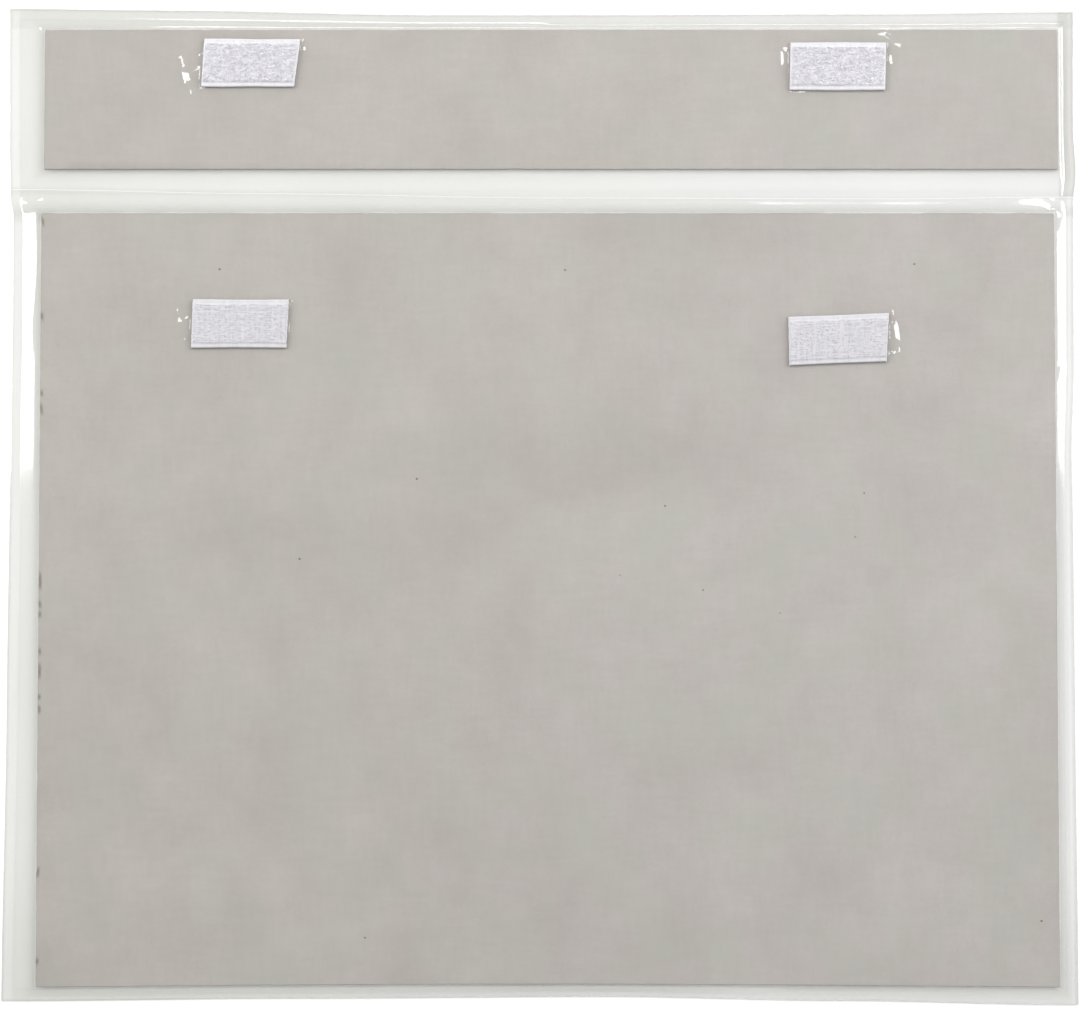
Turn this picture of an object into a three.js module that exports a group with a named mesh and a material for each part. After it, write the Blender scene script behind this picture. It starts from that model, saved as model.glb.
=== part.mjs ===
// A clear vinyl portfolio folder lying open and flat. Millimetres, +Z up, +X to the right, +Y towards the flap's edge.
import * as THREE from 'three';

// Overall sizes of the open folder, with the fold along y = 0 while it is drawn
const FOLDER_WIDTH = 423;
const BODY_LENGTH = 318.5;
const FLAP_LENGTH = 74.1;

// Film and its welded border
const FILM_THICKNESS = 0.4;
const LIP_WIDTH = 0.9;
const WELD_WIDTH = 2.2;
const WELD_DEPTH = 0.14;
const BEAD_WIDTH = 0.4;
const BEAD_HEIGHT = 0.12;
const SLIT_GAP = 0.8;
const MOUTH_LIFT = 0.6;
const MOUTH_EASE = 30;

// Stiffener boards, cut to leave room in the pockets
const BOARD_THICKNESS = 1.5;
const BODY_LEFT_ROOM = 13.0;
const BODY_RIGHT_ROOM = 7.2;
const BODY_FOLD_ROOM = 6.7;
const BODY_EDGE_ROOM = 5.8;
const BODY_BOARD_BOW = 1.2;
const FLAP_LEFT_ROOM = 13.9;
const FLAP_RIGHT_ROOM = 5.5;
const FLAP_FOLD_ROOM = 10.9;
const FLAP_EDGE_ROOM = 7.2;
const BOARD_CLEARANCE = 0.8;

// Hook and loop pads. Their places count in from the nearer side and from the flap's outer edge, so the
// hooks below the fold meet the loops above it when the flap is closed.
const PAD_LENGTH = 38.1;
const TAPE_WIDTH = 19.2;
const TAPE_BASE = 0.6;
const SELVAGE_WIDTH = 1.7;
const LOOP_HEIGHT = 1.5;
const HOOK_HEIGHT = 1.3;
const HOOK_PITCH = 2.2;
const LOOP_PITCH = 2.6;
const PADS = [
  { node: 'loop_tape_left', kind: 'loop', side: -1, inset: 95.8, reach: 20.7, spare: -0.5, turn: -0.2, slant: 1.5 },
  { node: 'loop_tape_right', kind: 'loop', side: 1, inset: 93.0, reach: 22.1, spare: 0, turn: 0, slant: 0.1 },
  { node: 'hook_tape_left', kind: 'hook', side: -1, inset: 92.2, reach: 23.2, spare: -0.1, turn: -0.1, slant: 0.4 },
  { node: 'hook_tape_right', kind: 'hook', side: 1, inset: 93.3, reach: 17.0, spare: 1.2, turn: 2.3, slant: 1.2 },
];
const PAD_FLAT_MARGIN = 14;

// How the cut edges wander from straight lines: share along the edge, then millimetres outwards
const LEFT_EDGE = [[0, 0.6], [0.3, -0.6], [0.55, -1.2], [0.79, -1.4], [0.815, -0.1], [0.86, 0.4], [1, 0.7]];
const RIGHT_EDGE = [[0, 0.2], [0.35, -0.2], [0.55, -0.5], [0.64, 0.7], [0.805, 0.9], [0.835, 2.2], [0.88, 1.2], [1, 1.5]];
const TOP_EDGE = [[0, 1.5], [0.15, 0.9], [0.4, -0.9], [0.55, -0.9], [0.8, -0.6], [1, 0.3]];
const BOTTOM_EDGE = [[0, -0.2], [0.28, -1.2], [0.56, -1.9], [0.78, -0.3], [1, 1.4]];
const MOUTH_CURVE = [[0, 2.9], [0.25, 1.1], [0.5, -0.5], [0.83, -0.9], [1, -0.1]];

// Soft waves in the film over the body board: ends as shares of its half sizes, half width, height
const WAVES = [
  { from: [-0.56, 0.37], to: [0.54, 0.36], half: 17, rise: 0.75 },
  { from: [-0.87, 0.16], to: [-0.11, 0.17], half: 14, rise: 0.5 },
  { from: [-0.21, 0.9], to: [0.5, 0.9], half: 13, rise: 0.45 },
  { from: [-0.65, -0.47], to: [-0.47, -0.91], half: 15, rise: 0.55 },
  { from: [0.29, -0.49], to: [0.4, -0.93], half: 16, rise: 0.6 },
  { from: [0.73, 0.11], to: [0.86, -0.39], half: 17, rise: 0.5 },
];
const GRID_STEP = 12.5;

const backTop = FILM_THICKNESS;
const boardTop = backTop + BOARD_THICKNESS;
const skinTop = boardTop + FILM_THICKNESS;
const topY = FLAP_LENGTH;
const bottomY = -BODY_LENGTH;
const halfWidth = FOLDER_WIDTH / 2;
const bodyBoard = {
  x: (BODY_LEFT_ROOM - BODY_RIGHT_ROOM) / 2,
  y: (bottomY + BODY_EDGE_ROOM - BODY_FOLD_ROOM) / 2,
  width: FOLDER_WIDTH - BODY_LEFT_ROOM - BODY_RIGHT_ROOM,
  length: BODY_LENGTH - BODY_EDGE_ROOM - BODY_FOLD_ROOM,
  bow: BODY_BOARD_BOW,
};
const flapBoard = {
  x: (FLAP_LEFT_ROOM - FLAP_RIGHT_ROOM) / 2,
  y: (topY - FLAP_EDGE_ROOM + FLAP_FOLD_ROOM) / 2,
  width: FOLDER_WIDTH - FLAP_LEFT_ROOM - FLAP_RIGHT_ROOM,
  length: FLAP_LENGTH - FLAP_EDGE_ROOM - FLAP_FOLD_ROOM,
  bow: 0,
};
const padPlaces = PADS.map((pad) => ({
  ...pad,
  x: pad.side * (halfWidth - pad.inset),
  y: (pad.kind === 'loop' ? 1 : -1) * (FLAP_LENGTH - pad.reach),
  length: PAD_LENGTH + pad.spare,
}));

/** Reads a wandering edge at a share of its length, easing from one stop to the next. */
function along(stops, share) {
  const t = THREE.MathUtils.clamp(share, 0, 1);
  for (let i = 1; i < stops.length; i += 1) {
    const [start, from] = stops[i - 1];
    const [end, to] = stops[i];
    if (t <= end) {
      return THREE.MathUtils.lerp(from, to, THREE.MathUtils.smoothstep(t, start, end));
    }
  }
  return stops[stops.length - 1][1];
}

const shareOfLength = (y) => (y - bottomY) / (topY - bottomY);
const shareOfWidth = (x) => (x + halfWidth) / FOLDER_WIDTH;
const leftX = (y) => -halfWidth - along(LEFT_EDGE, shareOfLength(y));
const rightX = (y) => halfWidth + along(RIGHT_EDGE, shareOfLength(y));
const topEdgeY = (x) => topY + along(TOP_EDGE, shareOfWidth(x));
const bottomEdgeY = (x) => bottomY - along(BOTTOM_EDGE, shareOfWidth(x));
const mouthY = (x) => along(MOUTH_CURVE, shareOfWidth(x));

/** Closes a grid of points with an upper and a lower height into one solid. */
function gridSolid(points, lower, upper) {
  const columns = points.length;
  const rows = points[0].length;
  const positions = [];
  const faces = [];
  const index = (layer, i, j) => (layer * columns + i) * rows + j;
  for (const height of [lower, upper]) {
    for (const column of points) {
      for (const [x, y] of column) {
        positions.push(x, y, height(x, y));
      }
    }
  }
  const quad = (a, b, c, d) => faces.push(a, b, c, a, c, d);
  for (let i = 0; i + 1 < columns; i += 1) {
    for (let j = 0; j + 1 < rows; j += 1) {
      quad(index(0, i, j), index(0, i, j + 1), index(0, i + 1, j + 1), index(0, i + 1, j));
      quad(index(1, i, j), index(1, i + 1, j), index(1, i + 1, j + 1), index(1, i, j + 1));
    }
    quad(index(0, i, 0), index(0, i + 1, 0), index(1, i + 1, 0), index(1, i, 0));
    const last = rows - 1;
    quad(index(0, i + 1, last), index(0, i, last), index(1, i, last), index(1, i + 1, last));
  }
  for (let j = 0; j + 1 < rows; j += 1) {
    quad(index(0, 0, j + 1), index(0, 0, j), index(1, 0, j), index(1, 0, j + 1));
    const last = columns - 1;
    quad(index(0, last, j), index(0, last, j + 1), index(1, last, j + 1), index(1, last, j));
  }
  const geometry = new THREE.BufferGeometry();
  geometry.setAttribute('position', new THREE.Float32BufferAttribute(positions, 3));
  geometry.setIndex(faces);
  geometry.computeVertexNormals();
  return geometry;
}

/** Closes a grid of points, centred on the origin, over a flat underside that fans out from its middle. */
function reliefSolid(points, upper) {
  const columns = points.length;
  const rows = points[0].length;
  const positions = points.flat().flatMap(([x, y]) => [x, y, upper(x, y)]);
  const faces = [];
  for (let i = 0; i + 1 < columns; i += 1) {
    for (let j = 0; j + 1 < rows; j += 1) {
      const corner = i * rows + j;
      faces.push(corner, corner + rows, corner + rows + 1, corner, corner + rows + 1, corner + 1);
    }
  }
  const rim = [];
  for (let i = 0; i < columns; i += 1) rim.push(i * rows);
  for (let j = 1; j < rows; j += 1) rim.push((columns - 1) * rows + j);
  for (let i = columns - 2; i >= 0; i -= 1) rim.push(i * rows + rows - 1);
  for (let j = rows - 2; j > 0; j -= 1) rim.push(j);
  const base = columns * rows;
  const middle = base + rim.length;
  rim.forEach((place) => positions.push(positions[3 * place], positions[3 * place + 1], 0));
  positions.push(0, 0, 0);
  rim.forEach((place, k) => {
    const next = (k + 1) % rim.length;
    faces.push(base + k, base + next, rim[next], base + k, rim[next], place);
    faces.push(middle, base + next, base + k);
  });
  const geometry = new THREE.BufferGeometry();
  geometry.setAttribute('position', new THREE.Float32BufferAttribute(positions, 3));
  geometry.setIndex(faces);
  geometry.computeVertexNormals();
  return geometry;
}

/** Even steps between two places, both ends left out. */
function between(from, to, step) {
  const count = Math.max(1, Math.round(Math.abs(to - from) / step));
  const places = [];
  for (let i = 1; i < count; i += 1) {
    places.push(THREE.MathUtils.lerp(from, to, i / count));
  }
  return places;
}

/** Insets of the grid lines that shape the lip, the weld and the bead of a welded edge. */
const weldInsets = [0, LIP_WIDTH, LIP_WIDTH + WELD_WIDTH, LIP_WIDTH + WELD_WIDTH + BEAD_WIDTH];
const weldInner = LIP_WIDTH + WELD_WIDTH + BEAD_WIDTH;

/** Relief of the pressed weld: flat lip, sunk weld, raised bead beside it, by distance from the cut edge. */
function weldRelief(inset) {
  const sunk = inset > LIP_WIDTH - 0.01 && inset < LIP_WIDTH + WELD_WIDTH - 0.01;
  if (sunk) {
    return -WELD_DEPTH;
  }
  const onBead = inset >= LIP_WIDTH + WELD_WIDTH - 0.01 && inset < weldInner - 0.01;
  return onBead ? BEAD_HEIGHT : 0;
}

/** Lower edge of a board, bowed up towards its middle. */
function lowEdgeY(board, x) {
  const share = THREE.MathUtils.clamp((x - board.x) / board.width, -0.5, 0.5);
  return board.y - board.length / 2 + board.bow * Math.cos(Math.PI * share);
}

const highEdgeY = (board) => board.y + board.length / 2;

/** How far a point is outside a board's outline, along X or Y, zero on the board. */
function distanceToBoard(board, x, y) {
  const sideways = Math.max(Math.abs(x - board.x) - board.width / 2, 0);
  const lengthways = Math.max(lowEdgeY(board, x) - y, y - highEdgeY(board), 0);
  return Math.max(sideways, lengthways);
}

/** How far a point is from the nearest pad's middle rectangle, to keep the film flat under the pads. */
function padShelter(x, y) {
  let open = 1;
  for (const pad of padPlaces) {
    const u = Math.max(Math.abs(x - pad.x) - pad.length / 2, 0);
    const v = Math.max(Math.abs(y - pad.y) - TAPE_WIDTH / 2, 0);
    const away = Math.hypot(u, v);
    open = Math.min(open, THREE.MathUtils.smoothstep(away, PAD_FLAT_MARGIN, 2 * PAD_FLAT_MARGIN));
  }
  return open;
}

/** A point on the body board by shares of its half sizes. */
function boardPoint(u, v) {
  return new THREE.Vector2(bodyBoard.x + (u * bodyBoard.width) / 2, bodyBoard.y + (v * bodyBoard.length) / 2);
}

/** Height that the waves in the film add over the body board. */
function waveRise(x, y) {
  let rise = 0;
  for (const wave of WAVES) {
    const start = boardPoint(...wave.from);
    const span = boardPoint(...wave.to).sub(start);
    const point = new THREE.Vector2(x, y).sub(start);
    const t = point.dot(span) / span.lengthSq();
    const near = span.clone().multiplyScalar(THREE.MathUtils.clamp(t, 0, 1));
    const across = point.distanceTo(near) / wave.half;
    const ends = THREE.MathUtils.smoothstep(t, -0.1, 0.25) * (1 - THREE.MathUtils.smoothstep(t, 0.75, 1.1));
    rise += wave.rise * ends * Math.exp(-across * across * 2);
  }
  return rise * padShelter(x, y);
}

/** Underside of a skin that is welded to the back sheet at its border and lifted by a board. */
function skinUnderside(board, x, y, weldedInset) {
  const away = Math.max(distanceToBoard(board, x, y) - BOARD_CLEARANCE, 0);
  const reach = Math.max(weldedInset - weldInner, 0);
  const share = away === 0 ? 1 : reach / (reach + away);
  return backTop + BOARD_THICKNESS * THREE.MathUtils.smoothstep(share, 0, 1);
}

/** Grid places across a skin: insets from both cut edges, lines beside the board and even steps between. */
function acrossPlaces(board) {
  const low = board.x - board.width / 2 - BOARD_CLEARANCE;
  const high = board.x + board.width / 2 + BOARD_CLEARANCE;
  const places = [];
  for (const inset of weldInsets) {
    places.push((y) => leftX(y) + inset);
  }
  places.push((y) => (leftX(y) + weldInner + low) / 2);
  for (const x of [low, ...between(low, high, GRID_STEP), high]) {
    places.push(() => x);
  }
  places.push((y) => (rightX(y) - weldInner + high) / 2);
  for (const inset of [...weldInsets].reverse()) {
    places.push((y) => rightX(y) - inset);
  }
  return places;
}

/** A skin of film over one board, open along its free edge. */
function skinSheet(board, welded, free, towardsFree, extraLift) {
  const across = acrossPlaces(board);
  const lowLine = (x) => lowEdgeY(board, x) - BOARD_CLEARANCE;
  const highLine = () => highEdgeY(board) + BOARD_CLEARANCE;
  const [nearBoard, farBoard] = towardsFree > 0 ? [lowLine, highLine] : [highLine, lowLine];
  const lengthwise = weldInsets.map((inset) => (x) => welded(x) + towardsFree * inset);
  const steps = between(0, board.length, GRID_STEP).map((y) => y / board.length);
  for (const share of [0, ...steps, 1]) {
    lengthwise.push((x) => THREE.MathUtils.lerp(nearBoard(x), farBoard(x), share));
  }
  lengthwise.push((x) => (free(x) + farBoard(x)) / 2);
  lengthwise.push((x) => free(x));
  if (towardsFree < 0) {
    lengthwise.reverse();
  }
  const points = across.map((placeX) => lengthwise.map((placeY) => {
    const middle = placeY(board.x);
    const x = placeX(middle);
    return [x, placeY(x)];
  }));
  const insetOf = (x, y) => Math.min(x - leftX(y), rightX(y) - x, towardsFree * (y - welded(x)));
  const under = (x, y) => {
    const inset = insetOf(x, y);
    if (inset < weldInner + 0.01) {
      return backTop;
    }
    const beyond = towardsFree * (y - farBoard(x));
    const span = towardsFree * (free(x) - farBoard(x));
    if (beyond <= 0) {
      return skinUnderside(board, x, y, inset) + extraLift(x, y);
    }
    const level = skinUnderside(board, x, farBoard(x), inset);
    const sag = THREE.MathUtils.smoothstep(beyond / span, 0, 1.3);
    const lift = MOUTH_LIFT * THREE.MathUtils.smoothstep(inset - weldInner, 0, MOUTH_EASE);
    return THREE.MathUtils.lerp(level, backTop + lift, sag);
  };
  const over = (x, y) => {
    const inset = insetOf(x, y);
    return under(x, y) + FILM_THICKNESS + weldRelief(inset);
  };
  return gridSolid(points, under, over);
}

/** Outline that runs round the folder along its wandering cut edges. */
function folderOutline() {
  const outline = [];
  const xs = [-halfWidth, ...between(-halfWidth, halfWidth, GRID_STEP), halfWidth];
  const ys = [bottomY, ...between(bottomY, topY, GRID_STEP / 2), topY];
  const corner = (x, y) => [x > 0 ? rightX(y) : leftX(y), y > 0 ? topEdgeY(x) : bottomEdgeY(x)];
  outline.push(corner(-1 * halfWidth, bottomY));
  xs.slice(1, -1).forEach((x) => outline.push([x, bottomEdgeY(x)]));
  outline.push(corner(halfWidth, bottomY));
  ys.slice(1, -1).forEach((y) => outline.push([rightX(y), y]));
  outline.push(corner(halfWidth, topY));
  [...xs].reverse().slice(1, -1).forEach((x) => outline.push([x, topEdgeY(x)]));
  outline.push(corner(-1 * halfWidth, topY));
  [...ys].reverse().slice(1, -1).forEach((y) => outline.push([leftX(y), y]));
  return outline;
}

/** A flat sheet or board cut to an outline. */
function cutSheet(outline, thickness) {
  const shape = new THREE.Shape(outline.map(([x, y]) => new THREE.Vector2(x, y)));
  return new THREE.ExtrudeGeometry(shape, { depth: thickness, bevelEnabled: false });
}

/** A board's outline about its own middle. */
function boardOutline(board) {
  const halfX = board.width / 2;
  const halfY = board.length / 2;
  const places = [-halfX, ...between(-halfX, halfX, 4 * GRID_STEP), halfX];
  const outline = places.map((x) => [x, lowEdgeY(board, board.x + x) - board.y]);
  outline.push([halfX, halfY], [-halfX, halfY]);
  return outline;
}

/** A pad of tape: a woven base with a selvage along both long edges and a field of hooks or loops. */
function tapePad(pad) {
  const isHook = pad.kind === 'hook';
  const pitch = isHook ? HOOK_PITCH : LOOP_PITCH;
  const columns = Math.round(pad.length / pitch);
  const rows = Math.round((TAPE_WIDTH - 2 * SELVAGE_WIDTH) / pitch);
  const fieldHalf = TAPE_WIDTH / 2 - SELVAGE_WIDTH;
  const ys = [-TAPE_WIDTH / 2, -fieldHalf];
  for (let j = 0; j <= 2 * rows; j += 1) {
    ys.push(THREE.MathUtils.lerp(-fieldHalf, fieldHalf, (j + 0.5) / (2 * rows + 1)));
  }
  ys.push(fieldHalf, TAPE_WIDTH / 2);
  const points = [];
  for (let i = 0; i <= 2 * columns; i += 1) {
    const share = i / (2 * columns) - 0.5;
    points.push(ys.map((y) => [share * (pad.length + (pad.slant * y) / TAPE_WIDTH), y]));
  }
  const places = new Map();
  points.forEach((column, i) => column.forEach(([x, y], j) => places.set(`${x}/${y}`, [i, j])));
  const over = (x, y) => {
    const [i, j] = places.get(`${x}/${y}`);
    const inField = j > 1 && j < ys.length - 2;
    if (!inField) {
      return TAPE_BASE;
    }
    const onRow = j % 2 === 1;
    if (isHook) {
      const post = i % 2 === 1 && onRow;
      return TAPE_BASE + (post ? HOOK_HEIGHT : 0.35 * HOOK_HEIGHT);
    }
    const swell = Math.sin(i * 1.7 + j * 0.9) * Math.cos(i * 0.6 - j * 2.1);
    return TAPE_BASE + LOOP_HEIGHT * (0.82 + 0.18 * swell);
  };
  return reliefSolid(points, over);
}

/** One named piece with its own material. */
function piece(name, geometry, color, settings = {}) {
  const mesh = new THREE.Mesh(geometry, new THREE.MeshStandardMaterial({ color, ...settings }));
  mesh.name = name;
  return mesh;
}

const film = { transparent: true, opacity: 0.3, roughness: 0.15 };
const flat = () => 0;
const folder = new THREE.Group();
folder.name = 'clear_portfolio_folder';

folder.add(piece('back_sheet', cutSheet(folderOutline(), FILM_THICKNESS), 0xdfe3e2, film));

const bodyBoardPiece = piece(
  'body_board',
  cutSheet(boardOutline(bodyBoard), BOARD_THICKNESS),
  0xc0bab2,
  { roughness: 0.9 },
);
bodyBoardPiece.position.set(bodyBoard.x, bodyBoard.y, backTop);
folder.add(bodyBoardPiece);

const flapBoardPiece = piece(
  'flap_board',
  cutSheet(boardOutline(flapBoard), BOARD_THICKNESS),
  0xc4beb6,
  { roughness: 0.9 },
);
flapBoardPiece.position.set(flapBoard.x, flapBoard.y, backTop);
folder.add(flapBoardPiece);

const pocketEdge = (x) => mouthY(x) - SLIT_GAP / 2;
const flapEdge = (x) => mouthY(x) + SLIT_GAP / 2;
folder.add(piece('pocket_sheet', skinSheet(bodyBoard, bottomEdgeY, pocketEdge, 1, waveRise), 0xe6eae9, film));
folder.add(piece('flap_sheet', skinSheet(flapBoard, topEdgeY, flapEdge, -1, flat), 0xe6eae9, film));

for (const pad of padPlaces) {
  const mesh = piece(pad.node, tapePad(pad), pad.kind === 'hook' ? 0xdddee0 : 0xdededf, { roughness: 0.95 });
  mesh.position.set(pad.x, pad.y, skinTop);
  mesh.rotation.z = THREE.MathUtils.degToRad(pad.turn);
  folder.add(mesh);
}

// The frame's origin is the middle of the outline, on the surface that the folder lies on.
const middle = new THREE.Box3().setFromObject(folder).getCenter(new THREE.Vector3());
folder.children.forEach((mesh) => mesh.position.sub(new THREE.Vector3(middle.x, middle.y, 0)));

export default folder;
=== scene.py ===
"""Looks of the clear portfolio folder: film, chipboard stiffeners, hook and loop pads, studio and camera."""

import logging
import math
from dataclasses import dataclass
from enum import Enum
from functools import partial
from typing import Any, Callable, Sequence

import bpy
import numpy as np
from mathutils import Matrix, Vector


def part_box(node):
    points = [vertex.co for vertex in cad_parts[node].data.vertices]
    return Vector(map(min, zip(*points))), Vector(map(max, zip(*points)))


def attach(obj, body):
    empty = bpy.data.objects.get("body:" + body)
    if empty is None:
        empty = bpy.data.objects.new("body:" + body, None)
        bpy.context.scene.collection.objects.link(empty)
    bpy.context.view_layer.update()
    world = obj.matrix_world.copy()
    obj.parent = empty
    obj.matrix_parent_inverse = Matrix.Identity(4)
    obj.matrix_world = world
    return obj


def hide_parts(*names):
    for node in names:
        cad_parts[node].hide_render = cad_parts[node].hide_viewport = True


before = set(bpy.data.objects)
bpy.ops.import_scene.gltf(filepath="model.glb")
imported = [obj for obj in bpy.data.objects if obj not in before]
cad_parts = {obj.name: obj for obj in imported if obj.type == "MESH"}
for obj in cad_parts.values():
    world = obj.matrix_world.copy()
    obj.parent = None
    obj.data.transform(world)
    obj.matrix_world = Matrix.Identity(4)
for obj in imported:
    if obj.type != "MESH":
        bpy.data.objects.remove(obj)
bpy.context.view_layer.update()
log = logging.getLogger("folder")

MM = 0.001
WHITE = (1.0, 1.0, 1.0, 1.0)
HOOK_BRIGHTNESS = 0.9
Color = tuple[float, float, float, float]
Window = tuple[float, float]
Stops = Sequence[tuple[float, float]]
Path = Sequence[tuple[float, float]]
Array = np.ndarray


# Shader maths

@dataclass
class Value:
    """A shader socket that adds Math nodes when it is used in an expression."""

    tree: bpy.types.NodeTree
    socket: Any

    def _math(self, operation: str, first: Any, second: Any, clamp: bool = False) -> "Value":
        """Adds one Math node.

        Args:
            operation: the node's operation.
            first: the first operand, a Value or a number.
            second: the second operand, a Value or a number.
            clamp: whether the result is held between 0 and 1.

        Returns:
            The node's result.
        """
        node = self.tree.nodes.new("ShaderNodeMath")
        node.operation = operation
        node.use_clamp = clamp
        for place, operand in enumerate([first, second]):
            if isinstance(operand, Value):
                self.tree.links.new(operand.socket, node.inputs[place])
            elif operand is not None:
                node.inputs[place].default_value = operand
        return Value(self.tree, node.outputs[0])

    def __add__(self, other: Any) -> "Value":
        """Sum."""
        return self._math("ADD", self, other)

    __radd__ = __add__

    def __sub__(self, other: Any) -> "Value":
        """Difference."""
        return self._math("SUBTRACT", self, other)

    def __rsub__(self, other: Any) -> "Value":
        """Difference with the operands the other way round."""
        return self._math("SUBTRACT", other, self)

    def __mul__(self, other: Any) -> "Value":
        """Product."""
        return self._math("MULTIPLY", self, other)

    __rmul__ = __mul__

    def __pow__(self, other: Any) -> "Value":
        """Power."""
        return self._math("POWER", self, other)

    def wave(self, pace: float) -> "Value":
        """A sine between 0 and 1 of the value times a pace."""
        return self._math("SINE", self * pace, None) * 0.5 + 0.5

    def clamped(self) -> "Value":
        """The value held between 0 and 1."""
        return self._math("ADD", self, 0.0, clamp=True)


class Shader:
    """A material's node tree, with one method that adds any node."""

    def __init__(self, name: str) -> None:
        """Starts an empty material.

        Args:
            name: the material's name.
        """
        self.material = bpy.data.materials.new(name)
        self.material.use_nodes = True
        self.tree = self.material.node_tree
        self.tree.nodes.clear()

    def feed(self, target: Any, value: Any) -> None:
        """Gives an input its value.

        Args:
            target: the input's socket.
            value: a Value, another node's socket, or a plain setting.
        """
        source = value.socket if isinstance(value, Value) else value
        if isinstance(source, bpy.types.NodeSocket):
            self.tree.links.new(source, target)
        else:
            target.default_value = source

    def add(
        self, kind: str, settings: dict[str, Any] | None = None, inputs: dict[Any, Any] | None = None
    ) -> Any:
        """Adds one node.

        Args:
            kind: the node's type.
            settings: its settings, which are set first.
            inputs: values, Values or sockets for its inputs, by name or number.

        Returns:
            The node.
        """
        node = self.tree.nodes.new(kind)
        for name, value in (settings or {}).items():
            setattr(node, name, value)
        for name, value in (inputs or {}).items():
            self.feed(node.inputs[name], value)
        return node

    def value(self, socket: Any) -> Value:
        """Wraps a socket for expressions."""
        return Value(self.tree, socket)

    def place(self) -> Any:
        """The Object coordinates of the shaded point, in metres."""
        return self.add("ShaderNodeTexCoord").outputs["Object"]

    def stretched(self, scale: Sequence[float], turn: float = 0.0) -> Any:
        """Object coordinates scaled, and turned about Z, for a pattern."""
        inputs = {"Vector": self.place(), "Scale": scale, "Rotation": (0.0, 0.0, turn)}
        return self.add("ShaderNodeMapping", None, inputs).outputs[0]

    def noise(self, scale: float, detail: float, rough: float = 0.5, where: Any = None) -> Value:
        """A noise pattern of about a given number of spots to the metre."""
        inputs = {"Vector": where or self.place(), "Scale": scale, "Detail": detail, "Roughness": rough}
        return self.value(self.add("ShaderNodeTexNoise", None, inputs).outputs[0])

    def attribute(self, name: str) -> Value:
        """A number stored on the mesh, held between 0 and 1."""
        return self.value(self.add("ShaderNodeAttribute", {"attribute_name": name}).outputs["Fac"]).clamped()

    def remap(self, fac: Value, window: Window) -> Value:
        """Maps a window of values onto 0 to 1 and holds it there."""
        inputs = {"Value": fac, "From Min": window[0], "From Max": window[1]}
        return self.value(self.add("ShaderNodeMapRange", {"clamp": True}, inputs).outputs[0])

    def blend(self, fac: Value, first: Any, second: Any) -> Any:
        """Blends two colours.

        Args:
            fac: the second colour's share.
            first: the first colour, or its socket.
            second: the second colour, or its socket.

        Returns:
            The socket of the blended colour.
        """
        node = self.add("ShaderNodeMix", {"data_type": "RGBA"})
        inputs = {socket.identifier: socket for socket in node.inputs}
        for name, value in (("Factor_Float", fac), ("A_Color", first), ("B_Color", second)):
            self.feed(inputs[name], value)
        return next(socket for socket in node.outputs if socket.identifier == "Result_Color")

    def clear(self, color: Color) -> Any:
        """A see-through shader of one colour."""
        return self.add("ShaderNodeBsdfTransparent", None, {"Color": color}).outputs[0]

    def solid(self, inputs: dict[str, Any]) -> Any:
        """An opaque shader with the given inputs."""
        return self.add("ShaderNodeBsdfPrincipled", None, inputs).outputs[0]

    def mixed(self, fac: Any, first: Any, second: Any) -> Any:
        """Mixes two shaders."""
        return self.add("ShaderNodeMixShader", None, {0: fac, 1: first, 2: second}).outputs[0]

    def finish(self, surface: Any) -> bpy.types.Material:
        """Connects the surface and gives the material."""
        self.add("ShaderNodeOutputMaterial", None, {"Surface": surface})
        return self.material


# Finishes

@dataclass(frozen=True)
class FilmFinish:
    """Clear soft vinyl: see-through, glossy, darker along welds, with painted shade in creases and round
    boards and pads, warmer towards the left.
    """

    name: str
    tint: Color = (0.962, 0.962, 0.958, 1.0)
    # shade: the dark tint that carries the film's painted shade and painted reflection bands
    shade: Color = (0.277, 0.268, 0.223, 1.0)
    warm: Color = (0.933, 0.935, 0.916, 1.0)
    fused: Color = (0.994, 0.994, 0.992, 1.0)
    warm_window: Window = (-0.12, 0.22)
    warm_share: float = 0.65
    roughness: float = 0.07
    shine: float = 0.08
    edge_shine: float = 0.9
    edge_power: float = 5.0
    weld_dulling: float = 0.5

    def material(self, outer: bool) -> bpy.types.Material:
        """Builds the film's material.

        Args:
            outer: whether it is for the outer face, which carries the tint and the gloss of both faces.

        Returns:
            The material.
        """
        s = Shader(self.name if outer else f"{self.name}_inner")
        if not outer:
            return s.finish(s.clear(WHITE))
        side = s.value(s.add("ShaderNodeSeparateXYZ", None, {0: s.place()}).outputs[0])
        leftward = s.remap(side * -1.0, self.warm_window) * self.warm_share
        bonded = s.attribute("fused")
        body = s.mixed(leftward, s.clear(self.tint), s.clear(self.warm))
        body = s.mixed(bonded, body, s.clear(self.fused))
        # painted shade and painted reflection bands, from the sheet's shade mark
        body = s.mixed(s.attribute("shade"), body, s.clear(self.shade))
        gloss = s.add("ShaderNodeBsdfGlossy", None, {"Color": WHITE, "Roughness": self.roughness}).outputs[0]
        facing = s.value(s.add("ShaderNodeLayerWeight", None, {"Blend": 0.5}).outputs["Facing"])
        shine = facing ** self.edge_power * self.edge_shine + self.shine
        return s.finish(s.mixed(shine * (1.0 - bonded * self.weld_dulling), body, gloss))


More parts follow.
